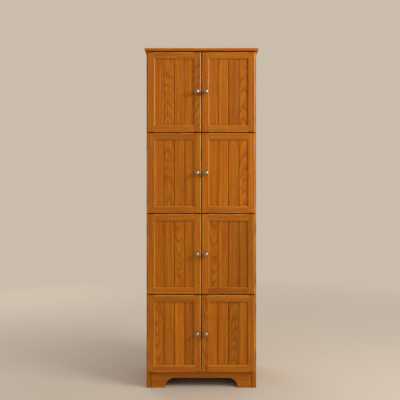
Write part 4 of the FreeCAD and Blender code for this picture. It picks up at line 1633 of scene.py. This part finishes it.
@dataclass
class Carcass(Assembly):
    """Boards that stand still: sides, shelves, back, apron and moulded top.

    Attributes:
        sawyer: who picks the timber.
        ease: rounding of the boards' arrises.
        staves: staves in a wide board.
        rabbet: width and depth of the sides' rabbet for the back.
        peg_inset: distance of the peg holes from the front and from the back panel.
        peg_pitch: distance between peg holes.
        peg_rows: peg holes in a column.
        peg_hole: radius and depth of a peg hole.
        shelf_rise: distance from a peg's middle up to the shelf on it.
        shelf_thickness: thickness of an adjustable shelf.
        sheet_staves: leaves of veneer across the back.
        back_recess: how far the back lies below its screws' heads.
        wall_hole: radius of the holes for the wall fixings.
        wall_spacing: distance between those holes.
        foot: width of the apron's feet.
        arch: radius of the arch's ends, and the height that they start from.
        arch_facets: facets of each of those ends.
        apron_ease: rounding of the apron's arrises.
        block: size of a corner block.
        cove: radius under the moulded top.
        cove_facets: facets of that cove.
        fillet: straight band above it.
        nosing: radius above the band.
        nosing_facets: facets of that nosing.
        top_hold: width of the flat margin on the moulded top.
    """

    sawyer: Sawyer
    ease: Ease = Ease(1.0 * MM)
    staves: int = 5
    rabbet: Pair = (10 * MM, 5 * MM)
    peg_inset: float = 50 * MM
    peg_pitch: float = 32 * MM
    peg_rows: int = 5
    peg_hole: Pair = (2.6 * MM, 10 * MM)
    shelf_rise: float = 2.6 * MM
    shelf_thickness: float = 18 * MM
    sheet_staves: int = 3
    back_recess: float = 0.3 * MM
    wall_hole: float = 3 * MM
    wall_spacing: float = 400 * MM
    foot: float = 75 * MM
    arch: Pair = (50 * MM, 2.5 * MM)
    arch_facets: int = 14
    apron_ease: Ease = Ease(1.5 * MM)
    block: float = 30 * MM
    cove: float = 3 * MM
    cove_facets: int = 6
    fillet: float = 1 * MM
    nosing: float = 2.5 * MM
    nosing_facets: int = 5
    top_hold: float = 4 * MM

    def build(self) -> None:
        """Build every board."""
        for hand in Hand:
            self._side(hand)
        for node in FIXED_BOARDS:
            self.add(node, [self._shelf(*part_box(node))], OAK)
        self._loose_shelves()
        self._back()
        self._apron()
        self._cornice()

    def _shelf(self, low: Vector, high: Vector) -> Board:
        """Glued-up shelf that fills a box."""
        return fill_box(low, high, Lay.SHELF, self.ease, self.sawyer.timber(high.y - low.y, self.staves))

    def _side(self, hand: Hand) -> None:
        """Build a side board with its rabbet and its peg holes.

        Args:
            hand: which side.
        """
        node = f"{hand.label}_side"
        low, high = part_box(node)
        outer = low.x if hand is Hand.LEFT else high.x
        size = Vector((high.z - low.z, high.y - low.y, high.x - low.x))
        placing = Placing(Vector((outer, low.y, low.z)), UP, BACK, RIGHT * -hand.value)
        lap, rebate = self.rabbet
        rows = self.ease.rows(size.z)
        half = len(rows) // 2
        step = Row(size.z - lap, 0.0)
        rebated = [replace(row, rebate=rebate) for row in (step, *rows[half:])]
        radius, depth = self.peg_hole
        holes = [
            Hole(tier.middle + (row - self.peg_rows // 2) * self.peg_pitch, across, radius, depth)
            for tier in Tier
            for across in (self.peg_inset, size.y - rebate - self.peg_inset)
            for row in range(self.peg_rows)
        ]
        timber = self.sawyer.timber(size.y, self.staves)
        board = Board(size, placing, timber, [*rows[:half], step, *rebated], holes=holes)
        self.add(node, [board], OAK)

    def _loose_shelves(self) -> None:
        """Build the adjustable shelves, one in each tier."""
        low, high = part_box("adjustable_shelves")
        shelves = []
        for tier in Tier:
            bottom = tier.middle + self.shelf_rise
            start = Vector((low.x, low.y, bottom))
            end = Vector((high.x, high.y, bottom + self.shelf_thickness))
            shelves.append(self._shelf(start, end))
        self.add("adjustable_shelves", shelves, OAK)

    def _back(self) -> None:
        """Build the back panel and the rail for the wall fixings, with the holes through both."""
        low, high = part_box("back_panel")
        high.y -= self.back_recess
        rail_low, rail_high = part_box("wall_rail")
        level = (rail_low.z + rail_high.z) / 2
        spots = (-self.wall_spacing / 2, self.wall_spacing / 2)
        holes = [Hole(level - low.z, x - low.x, self.wall_hole) for x in spots]
        sheet = self.sawyer.timber(high.x - low.x, self.sheet_staves, Cut.FLAT)
        self.add("back_panel", [fill_box(low, high, Lay.FACE, self.ease, sheet, holes)], PLYWOOD)
        holes = [Hole(x - rail_low.x, level - rail_low.z, self.wall_hole) for x in spots]
        timber = self.sawyer.timber(rail_high.z - rail_low.z)
        self.add("wall_rail", [fill_box(rail_low, rail_high, Lay.RAIL, self.ease, timber, holes)], OAK)

    def _apron(self) -> None:
        """Build the arched apron and the blocks behind its ends."""
        low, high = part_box("apron")
        length, height, thickness = Lay.RAIL.size(low, high)
        radius, lip = self.arch
        shoulder = self.foot + radius
        outline = [(0.0, 0.0), (self.foot, 0.0)]
        for turn in angles(self.arch_facets):
            outline.append((shoulder - radius * math.cos(turn), lip + radius * math.sin(turn)))
        outline += [(length - along, up) for along, up in reversed(outline)]
        outline += [(length, height), (0.0, height)]
        timber = self.sawyer.timber(height, cut=Cut.RIFT)
        rows = self.apron_ease.rows(thickness)
        self.add("apron", [Cutout(outline, Lay.RAIL.placing(low), rows, timber)], OAK)
        low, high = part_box("corner_blocks")
        blocks = []
        for start, end in ((low.x, low.x + self.block), (high.x - self.block, high.x)):
            corners = (Vector((start, low.y, low.z)), Vector((end, high.y, high.z)))
            blocks.append(fill_box(*corners, Lay.FACE, self.ease, self.sawyer.timber(self.block)))
        self.add("corner_blocks", blocks, OAK)

    def _cornice(self) -> None:
        """Build the moulded top, with a cove below and a nosing above on its front and its ends."""
        low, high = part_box("cornice_top")
        size = Lay.SHELF.size(low, high)
        top = size.z
        rows = [Row(0.0, self.cove + self.top_hold)]
        for turn in angles(self.cove_facets):
            rows.append(Row(self.cove * math.sin(turn), self.cove * math.cos(turn)))
        rows.append(Row(self.cove + self.fillet, 0.0))
        # The nosing's wear also paints a pale highlight.
        for turn in angles(self.nosing_facets):
            drop, inset = self.nosing * (1 - math.sin(turn)), self.nosing * (1 - math.cos(turn))
            rows.append(Row(top - drop, inset, math.sin(2 * turn)))
        rows.append(Row(top, self.nosing + self.top_hold))
        timber = self.sawyer.timber(size.y, self.staves)
        shaped = (1.0, 1.0, 1.0, 0.0)
        self.add("cornice_top", [Board(size, Lay.SHELF.placing(low), timber, rows, shaped)], OAK)


@dataclass
class Hinge:
    """One pin hinge: a door leaf whose knuckle turns between two knuckles of the carcass leaf.

    Attributes:
        centre: middle of its pin.
        inward: 1 where its leaves run towards +X, -1 where they run towards -X.
        height: height of the whole barrel.
        barrel: radius of the barrel.
        pin: radius of the pin.
        leaf: thickness of the leaves.
        door_leaf: width and height of the door's leaf.
        frame_leaf: width of the carcass's leaf.
        window: width and half height of its window.
        play: space between the two leaves.
        screw_offset: distance of the screws from the pin.
        bend: where a leaf leaves the barrel, in radii of the barrel.
        lap: how far a neck reaches into its leaf.
        neck_ease: how far a neck's ends stand in, up and across.
        knuckle_ease: radius of the rounding at a knuckle's ends.
        rolled: place of the middle of that rounding, in its radii.
        leaf_ease: rounding of the leaves' arrises.
        dome: height of the pin's domed ends, and their radius in radii of the pin.
        sides: facets around the barrel and around the pin.
    """

    centre: Vector
    inward: float
    height: float = 45 * MM
    barrel: float = 3.5 * MM
    pin: float = 1.8 * MM
    leaf: float = 1.6 * MM
    door_leaf: Pair = (13 * MM, 21 * MM)
    frame_leaf: float = 17.8 * MM
    window: Pair = (14 * MM, 10.8 * MM)
    play: float = 0.3 * MM
    screw_offset: float = 9.5 * MM
    bend: float = 0.8
    lap: float = 0.6 * MM
    neck_ease: Pair = (0.1 * MM, 0.05 * MM)
    knuckle_ease: float = 0.4 * MM
    rolled: float = 0.3
    leaf_ease: Ease = Ease(0.25 * MM, 2, 0.5 * MM)
    dome: Pair = (0.2 * MM, 0.6)
    sides: tuple[int, int] = (24, 16)

    @property
    def leaf_start(self) -> float:
        """Distance from the pin at which a leaf leaves the barrel."""
        return self.barrel * self.bend

    @property
    def frame_face(self) -> float:
        """Distance from the pin back to the face of the carcass's leaf."""
        return self.barrel + self.play - self.leaf

    def _knuckle(self, low: float, high: float) -> Turning:
        """Rolled knuckle.

        Args:
            low: its lower end, from the hinge's middle.
            high: its upper end.

        Returns:
            The knuckle.
        """
        radius, ease, middle = self.barrel, self.knuckle_ease, self.rolled * self.knuckle_ease
        ends = ((0.0, ease, 0.0, 1.0), (middle, middle, 1.0, 0.0), (ease, 0.0, 0.0, 0.0))
        beads = [Bead(low + step, radius - inset, *touch) for step, inset, *touch in ends]
        beads += [Bead(high - step, radius - inset, *touch) for step, inset, *touch in reversed(ends)]
        return Turning(beads, Placing.upright(self.centre), self.sides[0])

    def _plate(self, outline: Sequence[Pair], face: float) -> Cutout:
        """Leaf cut to an outline.

        Args:
            outline: distances of its corners inwards and upwards.
            face: distance from the pin back to its face.

        Returns:
            The leaf.
        """
        corner = self.centre + Vector((0.0, face, 0.0))
        placing = Placing(corner, RIGHT * self.inward, UP, BACK)
        return Cutout(outline, placing, self.leaf_ease.rows(self.leaf))

    def _neck(self, face: float, low: float, high: float) -> Cutout:
        """Web where a leaf runs into its knuckle.

        Args:
            face: distance from the pin back to the leaf's face.
            low: lower end of the knuckle, from the hinge's middle.
            high: upper end of the knuckle.

        Returns:
            The web.
        """
        inset, ease = self.neck_ease
        end, back = self.leaf_start + self.lap, face + self.leaf
        outline = [(0.0, face), (end, face), (end, back), (0.0, back)]
        corner = self.centre + Vector((0.0, 0.0, low))
        placing = Placing(corner, RIGHT * self.inward, BACK, UP)
        return Cutout(outline, placing, [Row(inset, ease), Row(high - low - inset, ease)])

    def _screw(self, face: float, height: float, way: float) -> Screw:
        """Screw through a leaf, with its head on a face and its point forwards or back."""
        at = self.centre + Vector((self.inward * self.screw_offset, face, height))
        return Screw(Placing.level(at, way))

    def frame_shapes(self) -> list[Shape]:
        """Leaf on the carcass, with its two knuckles.

        Returns:
            The shapes.
        """
        start, end, half, (reach, gap) = self.leaf_start, self.frame_leaf, self.height / 2, self.window
        outline = [(start, -half), (end, -half), (end, half), (start, half)]
        outline += [(start, gap), (reach, gap), (reach, -gap), (start, -gap)]
        knuckles = ((-half, -gap), (gap, half))
        return [
            *(self._knuckle(*ends) for ends in knuckles),
            self._plate(outline, self.frame_face),
            *(self._neck(self.frame_face, *ends) for ends in knuckles),
        ]

    def frame_screws(self) -> list[Screw]:
        """Screws of the leaf on the carcass."""
        arm = (self.window[1] + self.height / 2) / 2
        return [self._screw(self.frame_face, height, 1.0) for height in (-arm, arm)]

    def door_shapes(self) -> list[Shape]:
        """Leaf on the door, with its knuckle and its screws.

        Returns:
            The shapes.
        """
        start, (end, tall), face = self.leaf_start, self.door_leaf, self.barrel - self.leaf
        half = tall / 2
        outline = [(start, -half), (end, -half), (end, half), (start, half)]
        screws = [self._screw(self.barrel, height, -1.0) for height in (-half / 2, half / 2)]
        leaf = [self._plate(outline, face), self._neck(face, -half, half)]
        return [self._knuckle(-half, half), *leaf, *screws]

    def pin_shape(self) -> Turning:
        """Pin with slightly domed ends.

        Returns:
            The pin.
        """
        half, radius = self.height / 2, self.pin
        rise, share = self.dome
        beads = [
            Bead(-half, share * radius, worn=1.0),
            Bead(-half + rise, radius),
            Bead(half - rise, radius),
            Bead(half, share * radius, worn=1.0),
        ]
        return Turning(beads, Placing.upright(self.centre), self.sides[1])


@dataclass(frozen=True)
class Knob:
    """Profile of a turned knob, out from the door's face.

    Attributes:
        reach: how far it stands out.
        radius: radius of its rim.
        foot: radius, height and chamfer of its foot.
        neck: radius of its neck.
        hollow: where the hollow over the foot ends, its length and its depth.
        flare: where the flare to the rim starts.
        rim: where the flare ends, and the height of the straight rim.
        facets: facets of the hollow, of the flare and of the dome.
        dirt: dirt at the door, on the foot, in the hollow and where the flare starts.
        shine: wear at the middle of the dome.
        sides: facets around it.
    """

    reach: float = 26 * MM
    radius: float = 13.4 * MM
    foot: Triple = (7.5 * MM, 1.2 * MM, 0.6 * MM)
    neck: float = 5 * MM
    hollow: Triple = (5 * MM, 3 * MM, 2 * MM)
    flare: float = 9 * MM
    rim: Pair = (16.6 * MM, 0.6 * MM)
    facets: tuple[int, int, int] = (6, 8, 10)
    dirt: tuple[float, float, float, float] = (1.0, 0.6, 0.8, 0.5)
    shine: float = 0.3
    sides: int = 48

    def turned(self, placing: Placing) -> Turning:
        """Turn the knob.

        Args:
            placing: where it goes.

        Returns:
            The knob.
        """
        base, height, chamfer = self.foot
        end, length, depth = self.hollow
        rim, band = self.rim
        at_door, on_foot, in_hollow, at_flare = self.dirt
        beads = [
            Bead(0.0, base, 0.0, at_door),
            Bead(height, base, 0.0, on_foot),
            Bead(height + chamfer, base - chamfer, worn=1.0),
        ]
        hollow, flare, dome = (
            [(math.cos(turn), math.sin(turn)) for turn in angles(count)] for count in self.facets
        )
        for cosine, sine in hollow:
            beads.append(Bead(end - length * cosine, self.neck + depth * (1 - sine), 0.0, in_hollow))
        for cosine, sine in flare:
            along = self.flare + (rim - self.flare) * sine
            radius = self.neck + (self.radius - self.neck) * (1 - cosine)
            beads.append(Bead(along, radius, 0.0, at_flare * cosine))
        for cosine, sine in dome:
            along = rim + band + (self.reach - rim - band) * sine
            beads.append(Bead(along, self.radius * cosine, self.shine * sine))
        return Turning(beads, placing, self.sides)


@dataclass(frozen=True)
class Pick:
    """What is picked from the stack for one door.

    Attributes:
        planks: planks that are sawn flat, counted from the left.
        stiles: stiles that are sawn flat, counted from the left.
        tone: mean tone of its timber.
    """

    planks: tuple[int, ...] = ()
    stiles: tuple[int, ...] = ()
    tone: float = 0.5


PICKED = {
    "top_left_door": Pick(planks=(1,), stiles=(1,), tone=0.55),
    "top_right_door": Pick(planks=(3,), tone=0.45),
    "upper_left_door": Pick(planks=(1,), tone=0.48),
    "upper_right_door": Pick(planks=(3,), tone=0.9),
    "lower_left_door": Pick(planks=(2,), tone=0.78),
    "lower_right_door": Pick(planks=(0,), tone=0.38),
    "bottom_left_door": Pick(planks=(0,), tone=0.6),
    "bottom_right_door": Pick(planks=(2,), stiles=(0,), tone=0.48),
}


@dataclass
class Door(Assembly):
    """One door: frame, planked panel, knob, hinge leaves and strike plate.

    Attributes:
        sawyer: who picks the timber.
        hand: side of the cabinet that it hangs on.
        pick: what is picked for it.
        stile: width of a stile.
        rail: width of a rail.
        planks: planks in the panel.
        hinge_inset: distance of the hinges from the door's ends.
        strike: thickness of the strike plate.
        strike_ease: rounding of its arrises.
        knob: profile of the knob.
        bolt_head: radius and thickness of the head of the knob's bolt.
        bolt_shank: radius of the bolt.
        bolt_bite: length of the bolt in the knob.
        bolt_crown: height of the bolt's flat top above its rim.
    """

    sawyer: Sawyer
    hand: Hand
    pick: Pick
    stile: float = 40 * MM
    rail: float = 37 * MM
    planks: int = 4
    hinge_inset: float = 79 * MM
    strike: float = 1.4 * MM
    strike_ease: Ease = Ease(0.3 * MM, 2, 0.6 * MM)
    knob: Knob = Knob()
    bolt_head: Pair = (4 * MM, 2.4 * MM)
    bolt_shank: float = 2 * MM
    bolt_bite: float = 10 * MM
    bolt_crown: float = -0.05 * MM

    @property
    def box(self) -> tuple[Vector, Vector]:
        """Lowest and highest corner of the door's frame."""
        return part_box(f"{self.body}_frame")

    def hinges(self) -> list[Hinge]:
        """Place the door's two hinges on its joint's axis.

        Returns:
            The lower hinge and the upper one.
        """
        joint = next(joint for joint in frame["joints"] if joint["child"] == self.body)
        low, high = self.box
        x, y, _ = joint["pos_m"]
        levels = (low.z + self.hinge_inset, high.z - self.hinge_inset)
        return [Hinge(Vector((x, y, level)), -float(self.hand.value)) for level in levels]

    def build(self) -> None:
        """Build the door's pieces."""
        self.add(f"{self.body}_frame", self._frame(), OAK)
        self.add(f"{self.body}_panel", self._panel(), OAK)
        self.add(f"{self.body}_knob", self._knob(), NICKEL, PLATED)
        leaves = [shape for hinge in self.hinges() for shape in hinge.door_shapes()]
        self.add(f"{self.body}_hinge_leaves", leaves, PLATED)
        self.add(f"{self.body}_strike_plate", self._strike(), PLATED)

    def _frame(self) -> list[Member]:
        """Make two stiles and the two rails between them.

        Returns:
            The members.
        """
        low, high = self.box
        tall, wide, thick = high.z - low.z, high.x - low.x, high.y - low.y
        members = []
        for index, (corner, way) in enumerate(((low, 1.0), (Vector((high.x, low.y, low.z)), -1.0))):
            placing = Placing(corner, UP, RIGHT * way, BACK)
            cut = Cut.FLAT if index in self.pick.stiles else self.sawyer.pick_cut()
            timber = self.sawyer.timber(self.stile, cut=cut)
            members.append(Member(Vector((tall, self.stile, thick)), placing, timber, MemberEnd.ROUNDED))
        length = wide - 2 * self.stile
        for level, way in ((high.z, -1.0), (low.z, 1.0)):
            placing = Placing(Vector((low.x + self.stile, low.y, level)), RIGHT, UP * way, BACK)
            timber = self.sawyer.timber(self.rail, cut=self.sawyer.pick_cut())
            members.append(Member(Vector((length, self.rail, thick)), placing, timber, MemberEnd.COPED))
        return members

    def _panel(self) -> list[Plank]:
        """Make the planks, side by side in the grooves of the frame.

        Returns:
            The planks from left to right.
        """
        low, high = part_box(f"{self.body}_panel")
        pitch = (high.x - low.x) / self.planks
        size = Vector((high.z - low.z, pitch, high.y - low.y))
        planks = []
        for index in range(self.planks):
            cut = Cut.FLAT if index in self.pick.planks else self.sawyer.pick_cut()
            placing = Placing.upright(low + RIGHT * pitch * index)
            timber = self.sawyer.timber(pitch, cut=cut)
            planks.append(Plank(size, placing, timber, index == 0, index == self.planks - 1))
        return planks

    def _knob(self) -> list[Shape]:
        """Make the knob, and the bolt that holds it from inside.

        Returns:
            The knob and the bolt.
        """
        low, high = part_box(f"{self.body}_knob")
        face, back = self.box[0].y, self.box[1].y
        middle = (low + high) / 2
        knob = self.knob.turned(Placing.level(Vector((middle.x, face, middle.z))))
        head, thick = self.bolt_head
        seat = Placing.level(Vector((middle.x, back + thick, middle.z)))
        length = back + thick - face + self.bolt_bite
        bolt = Screw(seat, length, head, self.bolt_shank, thick, self.bolt_crown, finish=1)
        return [knob, bolt]

    def _strike(self) -> list[Shape]:
        """Make the strike plate on the back of the door, and its screw.

        Returns:
            The plate and the screw.
        """
        low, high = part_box(f"{self.body}_strike_plate")
        start = Vector((low.x, high.y - self.strike, low.z))
        middle = (start + high) / 2
        screw = Screw(Placing.level(Vector((middle.x, high.y, middle.z))))
        return [fill_box(start, high, Lay.RAIL, self.strike_ease), screw]


@dataclass
class Fittings(Assembly):
    """Ironmongery on the carcass: hinge leaves, pins, pegs, catches and screws.

    Attributes:
        hinges: hinges of all doors.
        peg: radius of a peg, its depth in the side, and the length that carries the shelf.
        peg_ease: chamfer of a peg's hidden end.
        peg_dome: radius, facets and wear of the rounding at its other end.
        peg_sides: facets around a peg.
        collar: radius, thickness and chamfer of a peg's collar.
        flange: width and thickness of a catch's flange.
        case: width and height of a catch's case.
        case_ease: rounding of the arrises of both.
        magnet: width and height of a magnet.
        magnet_ease: rounding of its arrises.
        magnet_spacing: distance between the two magnets of a catch.
        catch_screws: distance between a catch's screws.
        back_screws: distance between the screws in the back.
        top_screw: length, radii of head and shank, and cone of the moulded top's screws.
        top_screw_inset: distance of those screws from the inside of the carcass.
    """

    hinges: Sequence[Hinge]
    peg: Triple = (2.5 * MM, 9 * MM, 11.2 * MM)
    peg_ease: float = 0.5 * MM
    peg_dome: tuple[float, int, float] = (1 * MM, 3, 0.4)
    peg_sides: int = 24
    collar: Triple = (4 * MM, 1.2 * MM, 0.3 * MM)
    flange: Pair = (60 * MM, 3 * MM)
    case: Pair = (40 * MM, 13 * MM)
    case_ease: Ease = Ease(0.7 * MM, 3, 1 * MM)
    magnet: Pair = (12 * MM, 9 * MM)
    magnet_ease: Ease = Ease(0.4 * MM, 2, 1 * MM)
    magnet_spacing: float = 22 * MM
    catch_screws: float = 50 * MM
    back_screws: float = 180 * MM
    top_screw: tuple[float, float, float, float] = (30 * MM, 3.8 * MM, 2 * MM, 1.8 * MM)
    top_screw_inset: float = 90 * MM

    def build(self) -> None:
        """Build every fitting."""
        leaves = [shape for hinge in self.hinges for shape in hinge.frame_shapes()]
        self.add("hinge_frame_leaves", leaves, PLATED)
        self.add("hinge_pins", [hinge.pin_shape() for hinge in self.hinges], PLATED)
        self.add("shelf_pegs", self._pegs(), NICKEL)
        self.add("catch_bodies", self._catches(), PLASTIC)
        self.add("catch_magnets", self._magnets(), GROUND)
        screws = [screw for hinge in self.hinges for screw in hinge.frame_screws()]
        self.add("carcass_screws", screws + self._board_screws(), PLATED)

    def dress(self) -> None:
        """Give every fitting its finish, and the hidden dowels theirs."""
        super().dress()
        for slot in bpy.data.objects["joint_dowels"].material_slots:
            slot.material = BEECH.material()

    def _pegs(self) -> list[Turning]:
        """Make four pegs under each adjustable shelf.

        Returns:
            The pegs.
        """
        low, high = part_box("shelf_pegs")
        radius, depth, stub = self.peg
        collar, thick, chamfer = self.collar
        bend, facets, worn = self.peg_dome
        beads = [
            Bead(-depth, radius - self.peg_ease),
            Bead(-depth + self.peg_ease, radius),
            Bead(0.0, radius),
            Bead(0.0, collar, gathered=1.0),
            Bead(thick - chamfer, collar),
            Bead(thick, collar - chamfer, worn=1.0),
            Bead(thick, radius, gathered=1.0),
        ]
        for turn in angles(facets):
            along = stub - bend + bend * math.sin(turn)
            beads.append(Bead(along, radius - bend * (1 - math.cos(turn)), worn))
        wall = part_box("right_side")[0].x
        pegs = []
        for tier in Tier:
            for hand in Hand:
                for y in (low.y + collar, high.y - collar):
                    at = Vector((hand.value * wall, y, tier.middle))
                    placing = Placing(at, RIGHT * -hand.value, BACK, UP)
                    pegs.append(Turning(beads, placing, self.peg_sides))
        return pegs

    def _block(
        self, node: str, middle: float, level: float, sides: Pair, ease: Ease
    ) -> Board:
        """Block as deep as its node.

        Args:
            node: the node.
            middle: where the block's middle is from left to right.
            level: height of its underside.
            sides: its width and height.
            ease: rounding of its arrises.

        Returns:
            The block.
        """
        low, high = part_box(node)
        width, height = sides
        placing = Lay.SHELF.placing(Vector((middle - width / 2, low.y, level)))
        return Board(Vector((width, high.y - low.y, height)), placing, PLAIN, ease.rows(height))

    def _catches(self) -> list[Board]:
        """Case and flange of the catch above each pair of doors."""
        blocks = [(tier.ceiling - sides[1], sides) for tier in Tier for sides in (self.case, self.flange)]
        return [self._block("catch_bodies", 0.0, *block, self.case_ease) for block in blocks]

    def _magnets(self) -> list[Board]:
        """Make the two magnets in each catch.

        Returns:
            The magnets.
        """
        blocks = []
        for tier in Tier:
            level = tier.ceiling - self.case[1] / 2 - self.magnet[1] / 2
            for hand in Hand:
                middle = hand.value * self.magnet_spacing / 2
                blocks.append(self._block("catch_magnets", middle, level, self.magnet, self.magnet_ease))
        return blocks

    def _board_screws(self) -> list[Screw]:
        """Make the screws of the catches, of the back and of the moulded top.

        Returns:
            The screws.
        """
        low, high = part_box("catch_bodies")
        middle = (low.y + high.y) / 2
        screws = []
        for tier in Tier:
            for hand in Hand:
                x = hand.value * self.catch_screws / 2
                at = Vector((x, middle, tier.ceiling - self.flange[1]))
                screws.append(Screw(Placing.upright(at)))
        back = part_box("back_panel")[1].y - Screw.crown
        for node in FIXED_BOARDS:
            start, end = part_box(node)
            for column in (-1.0, 0.0, 1.0):
                at = Vector((column * self.back_screws, back, (start.z + end.z) / 2))
                screws.append(Screw(Placing.level(at)))
        start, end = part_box("carcass_top")
        inset = self.top_screw_inset
        for x in (start.x + inset, end.x - inset):
            for y in (start.y + inset, end.y - inset):
                screws.append(Screw(Placing.upright(Vector((x, y, start.z))), *self.top_screw))
        return screws


@dataclass(frozen=True)
class SoftBox:
    """Soft rectangular light.

    Attributes:
        name: its name.
        at: where it hangs.
        aim: the point that it faces.
        size: its width and height.
        power: its power in watts.
        colour: its colour.
    """

    name: str
    at: Vector
    aim: Vector
    size: Pair
    power: float
    colour: Colour = (1.0, 0.95, 0.88)

    def hang(self) -> None:
        """Add the light to the scene."""
        light = bpy.data.lights.new(self.name, "AREA")
        light.shape = "RECTANGLE"
        light.size, light.size_y = self.size
        light.energy = self.power
        light.color = self.colour
        made = link_object(self.name, light)
        made.location = self.at
        made.rotation_euler = (self.aim - self.at).to_track_quat("-Z", "Y").to_euler()


DOORS_MIDDLE = Vector((0.0, -0.15, 0.95))
BACK_MIDDLE = Vector((0.0, 0.1, 1.1))
SOFT_BOXES = (
    SoftBox("key", at=Vector((2.4, -1.5, 2.3)), aim=DOORS_MIDDLE, size=(1.4, 0.9), power=72.0),
    SoftBox("fill", at=Vector((1.7, -3.5, 2.7)), aim=DOORS_MIDDLE, size=(1.0, 1.0), power=12.0),
    SoftBox("back", at=Vector((-2.6, 3.2, 1.15)), aim=BACK_MIDDLE, size=(2.4, 1.4), power=55.0),
)


@dataclass
class Studio:
    """Pale floor, even world light, soft boxes and the camera.

    Attributes:
        floor: half the width of the floor.
        backdrop: colour that the camera and reflections see beyond the floor.
        ambient: colour of the world's light.
        distance: distance from the camera to the doors.
        camera_x: how far the camera stands to the right of the middle.
        camera_height: height of the camera.
        lens: focal length in millimetres.
        sensor: width of the sensor in millimetres.
        shift: vertical shift of the view, in widths.
    """

    floor: float = 20.0
    backdrop: Colour = BACKDROP
    ambient: Colour = (0.55, 0.53, 0.51)
    distance: float = 2.734
    camera_x: float = -7.5 * MM
    camera_height: float = 1.03
    lens: float = 45.9
    sensor: float = 36.0
    shift: float = -0.007

    def build(self) -> None:
        """Build the floor, the soft boxes, the world and the camera."""
        self._lay_floor()
        for box in SOFT_BOXES:
            box.hang()
        self._set_world()
        self._set_camera()

    def _lay_floor(self) -> None:
        """Flat floor at the cabinet's feet."""
        half = self.floor
        corners = [(-half, -half, 0), (half, -half, 0), (half, half, 0), (-half, half, 0)]
        mesh = bpy.data.meshes.new("studio_floor")
        mesh.from_pydata(corners, [], [(0, 1, 2, 3)])
        mesh.materials.append(FLOOR.material())
        link_object("studio_floor", mesh)

    def _set_world(self) -> None:
        """Even light, and a pale backdrop for the camera and for reflections."""
        world = bpy.data.worlds.new("studio_world")
        bpy.context.scene.world = world
        tree = ShaderTree(world)
        colour = tree.mix(tree.seen(), self.ambient, self.backdrop)
        light = tree.node("ShaderNodeBackground", {}, {"Color": colour, "Strength": 1.0})
        tree.node("ShaderNodeOutputWorld", {}, {"Surface": light})

    def _set_camera(self) -> None:
        """Level camera straight in front of the doors."""
        data = bpy.data.cameras.new("camera")
        data.lens = self.lens
        data.sensor_width = self.sensor
        data.shift_y = self.shift
        data.dof.use_dof = False
        made = link_object("camera", data)
        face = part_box("bottom_left_door_frame")[0].y
        made.location = (self.camera_x, face - self.distance, self.camera_height)
        made.rotation_euler = (SQUARE, 0.0, 0.0)
        bpy.context.scene.camera = made
        bpy.context.scene.view_settings.view_transform = "Standard"


CARCASS_SEED = 11
FIRST_DOOR_SEED = 100


def main() -> None:
    """Build and dress the cabinet, then the studio around it."""
    logging.basicConfig(level=logging.INFO, format="%(name)s: %(message)s")
    carcass = Carcass("carcass", Sawyer(CARCASS_SEED))
    carcass.build()
    doors = []
    for tier in Tier:
        for hand in Hand:
            body = f"{tier.label}_{hand.label}_door"
            pick = PICKED[body]
            door = Door(body, Sawyer(FIRST_DOOR_SEED + len(doors), pick.tone), hand, pick)
            door.build()
            doors.append(door)
    fittings = Fittings("carcass", [hinge for door in doors for hinge in door.hinges()])
    fittings.build()
    for assembly in (carcass, *doors, fittings):
        assembly.dress()
    Studio().build()


if __name__ == "__main__":
    main()
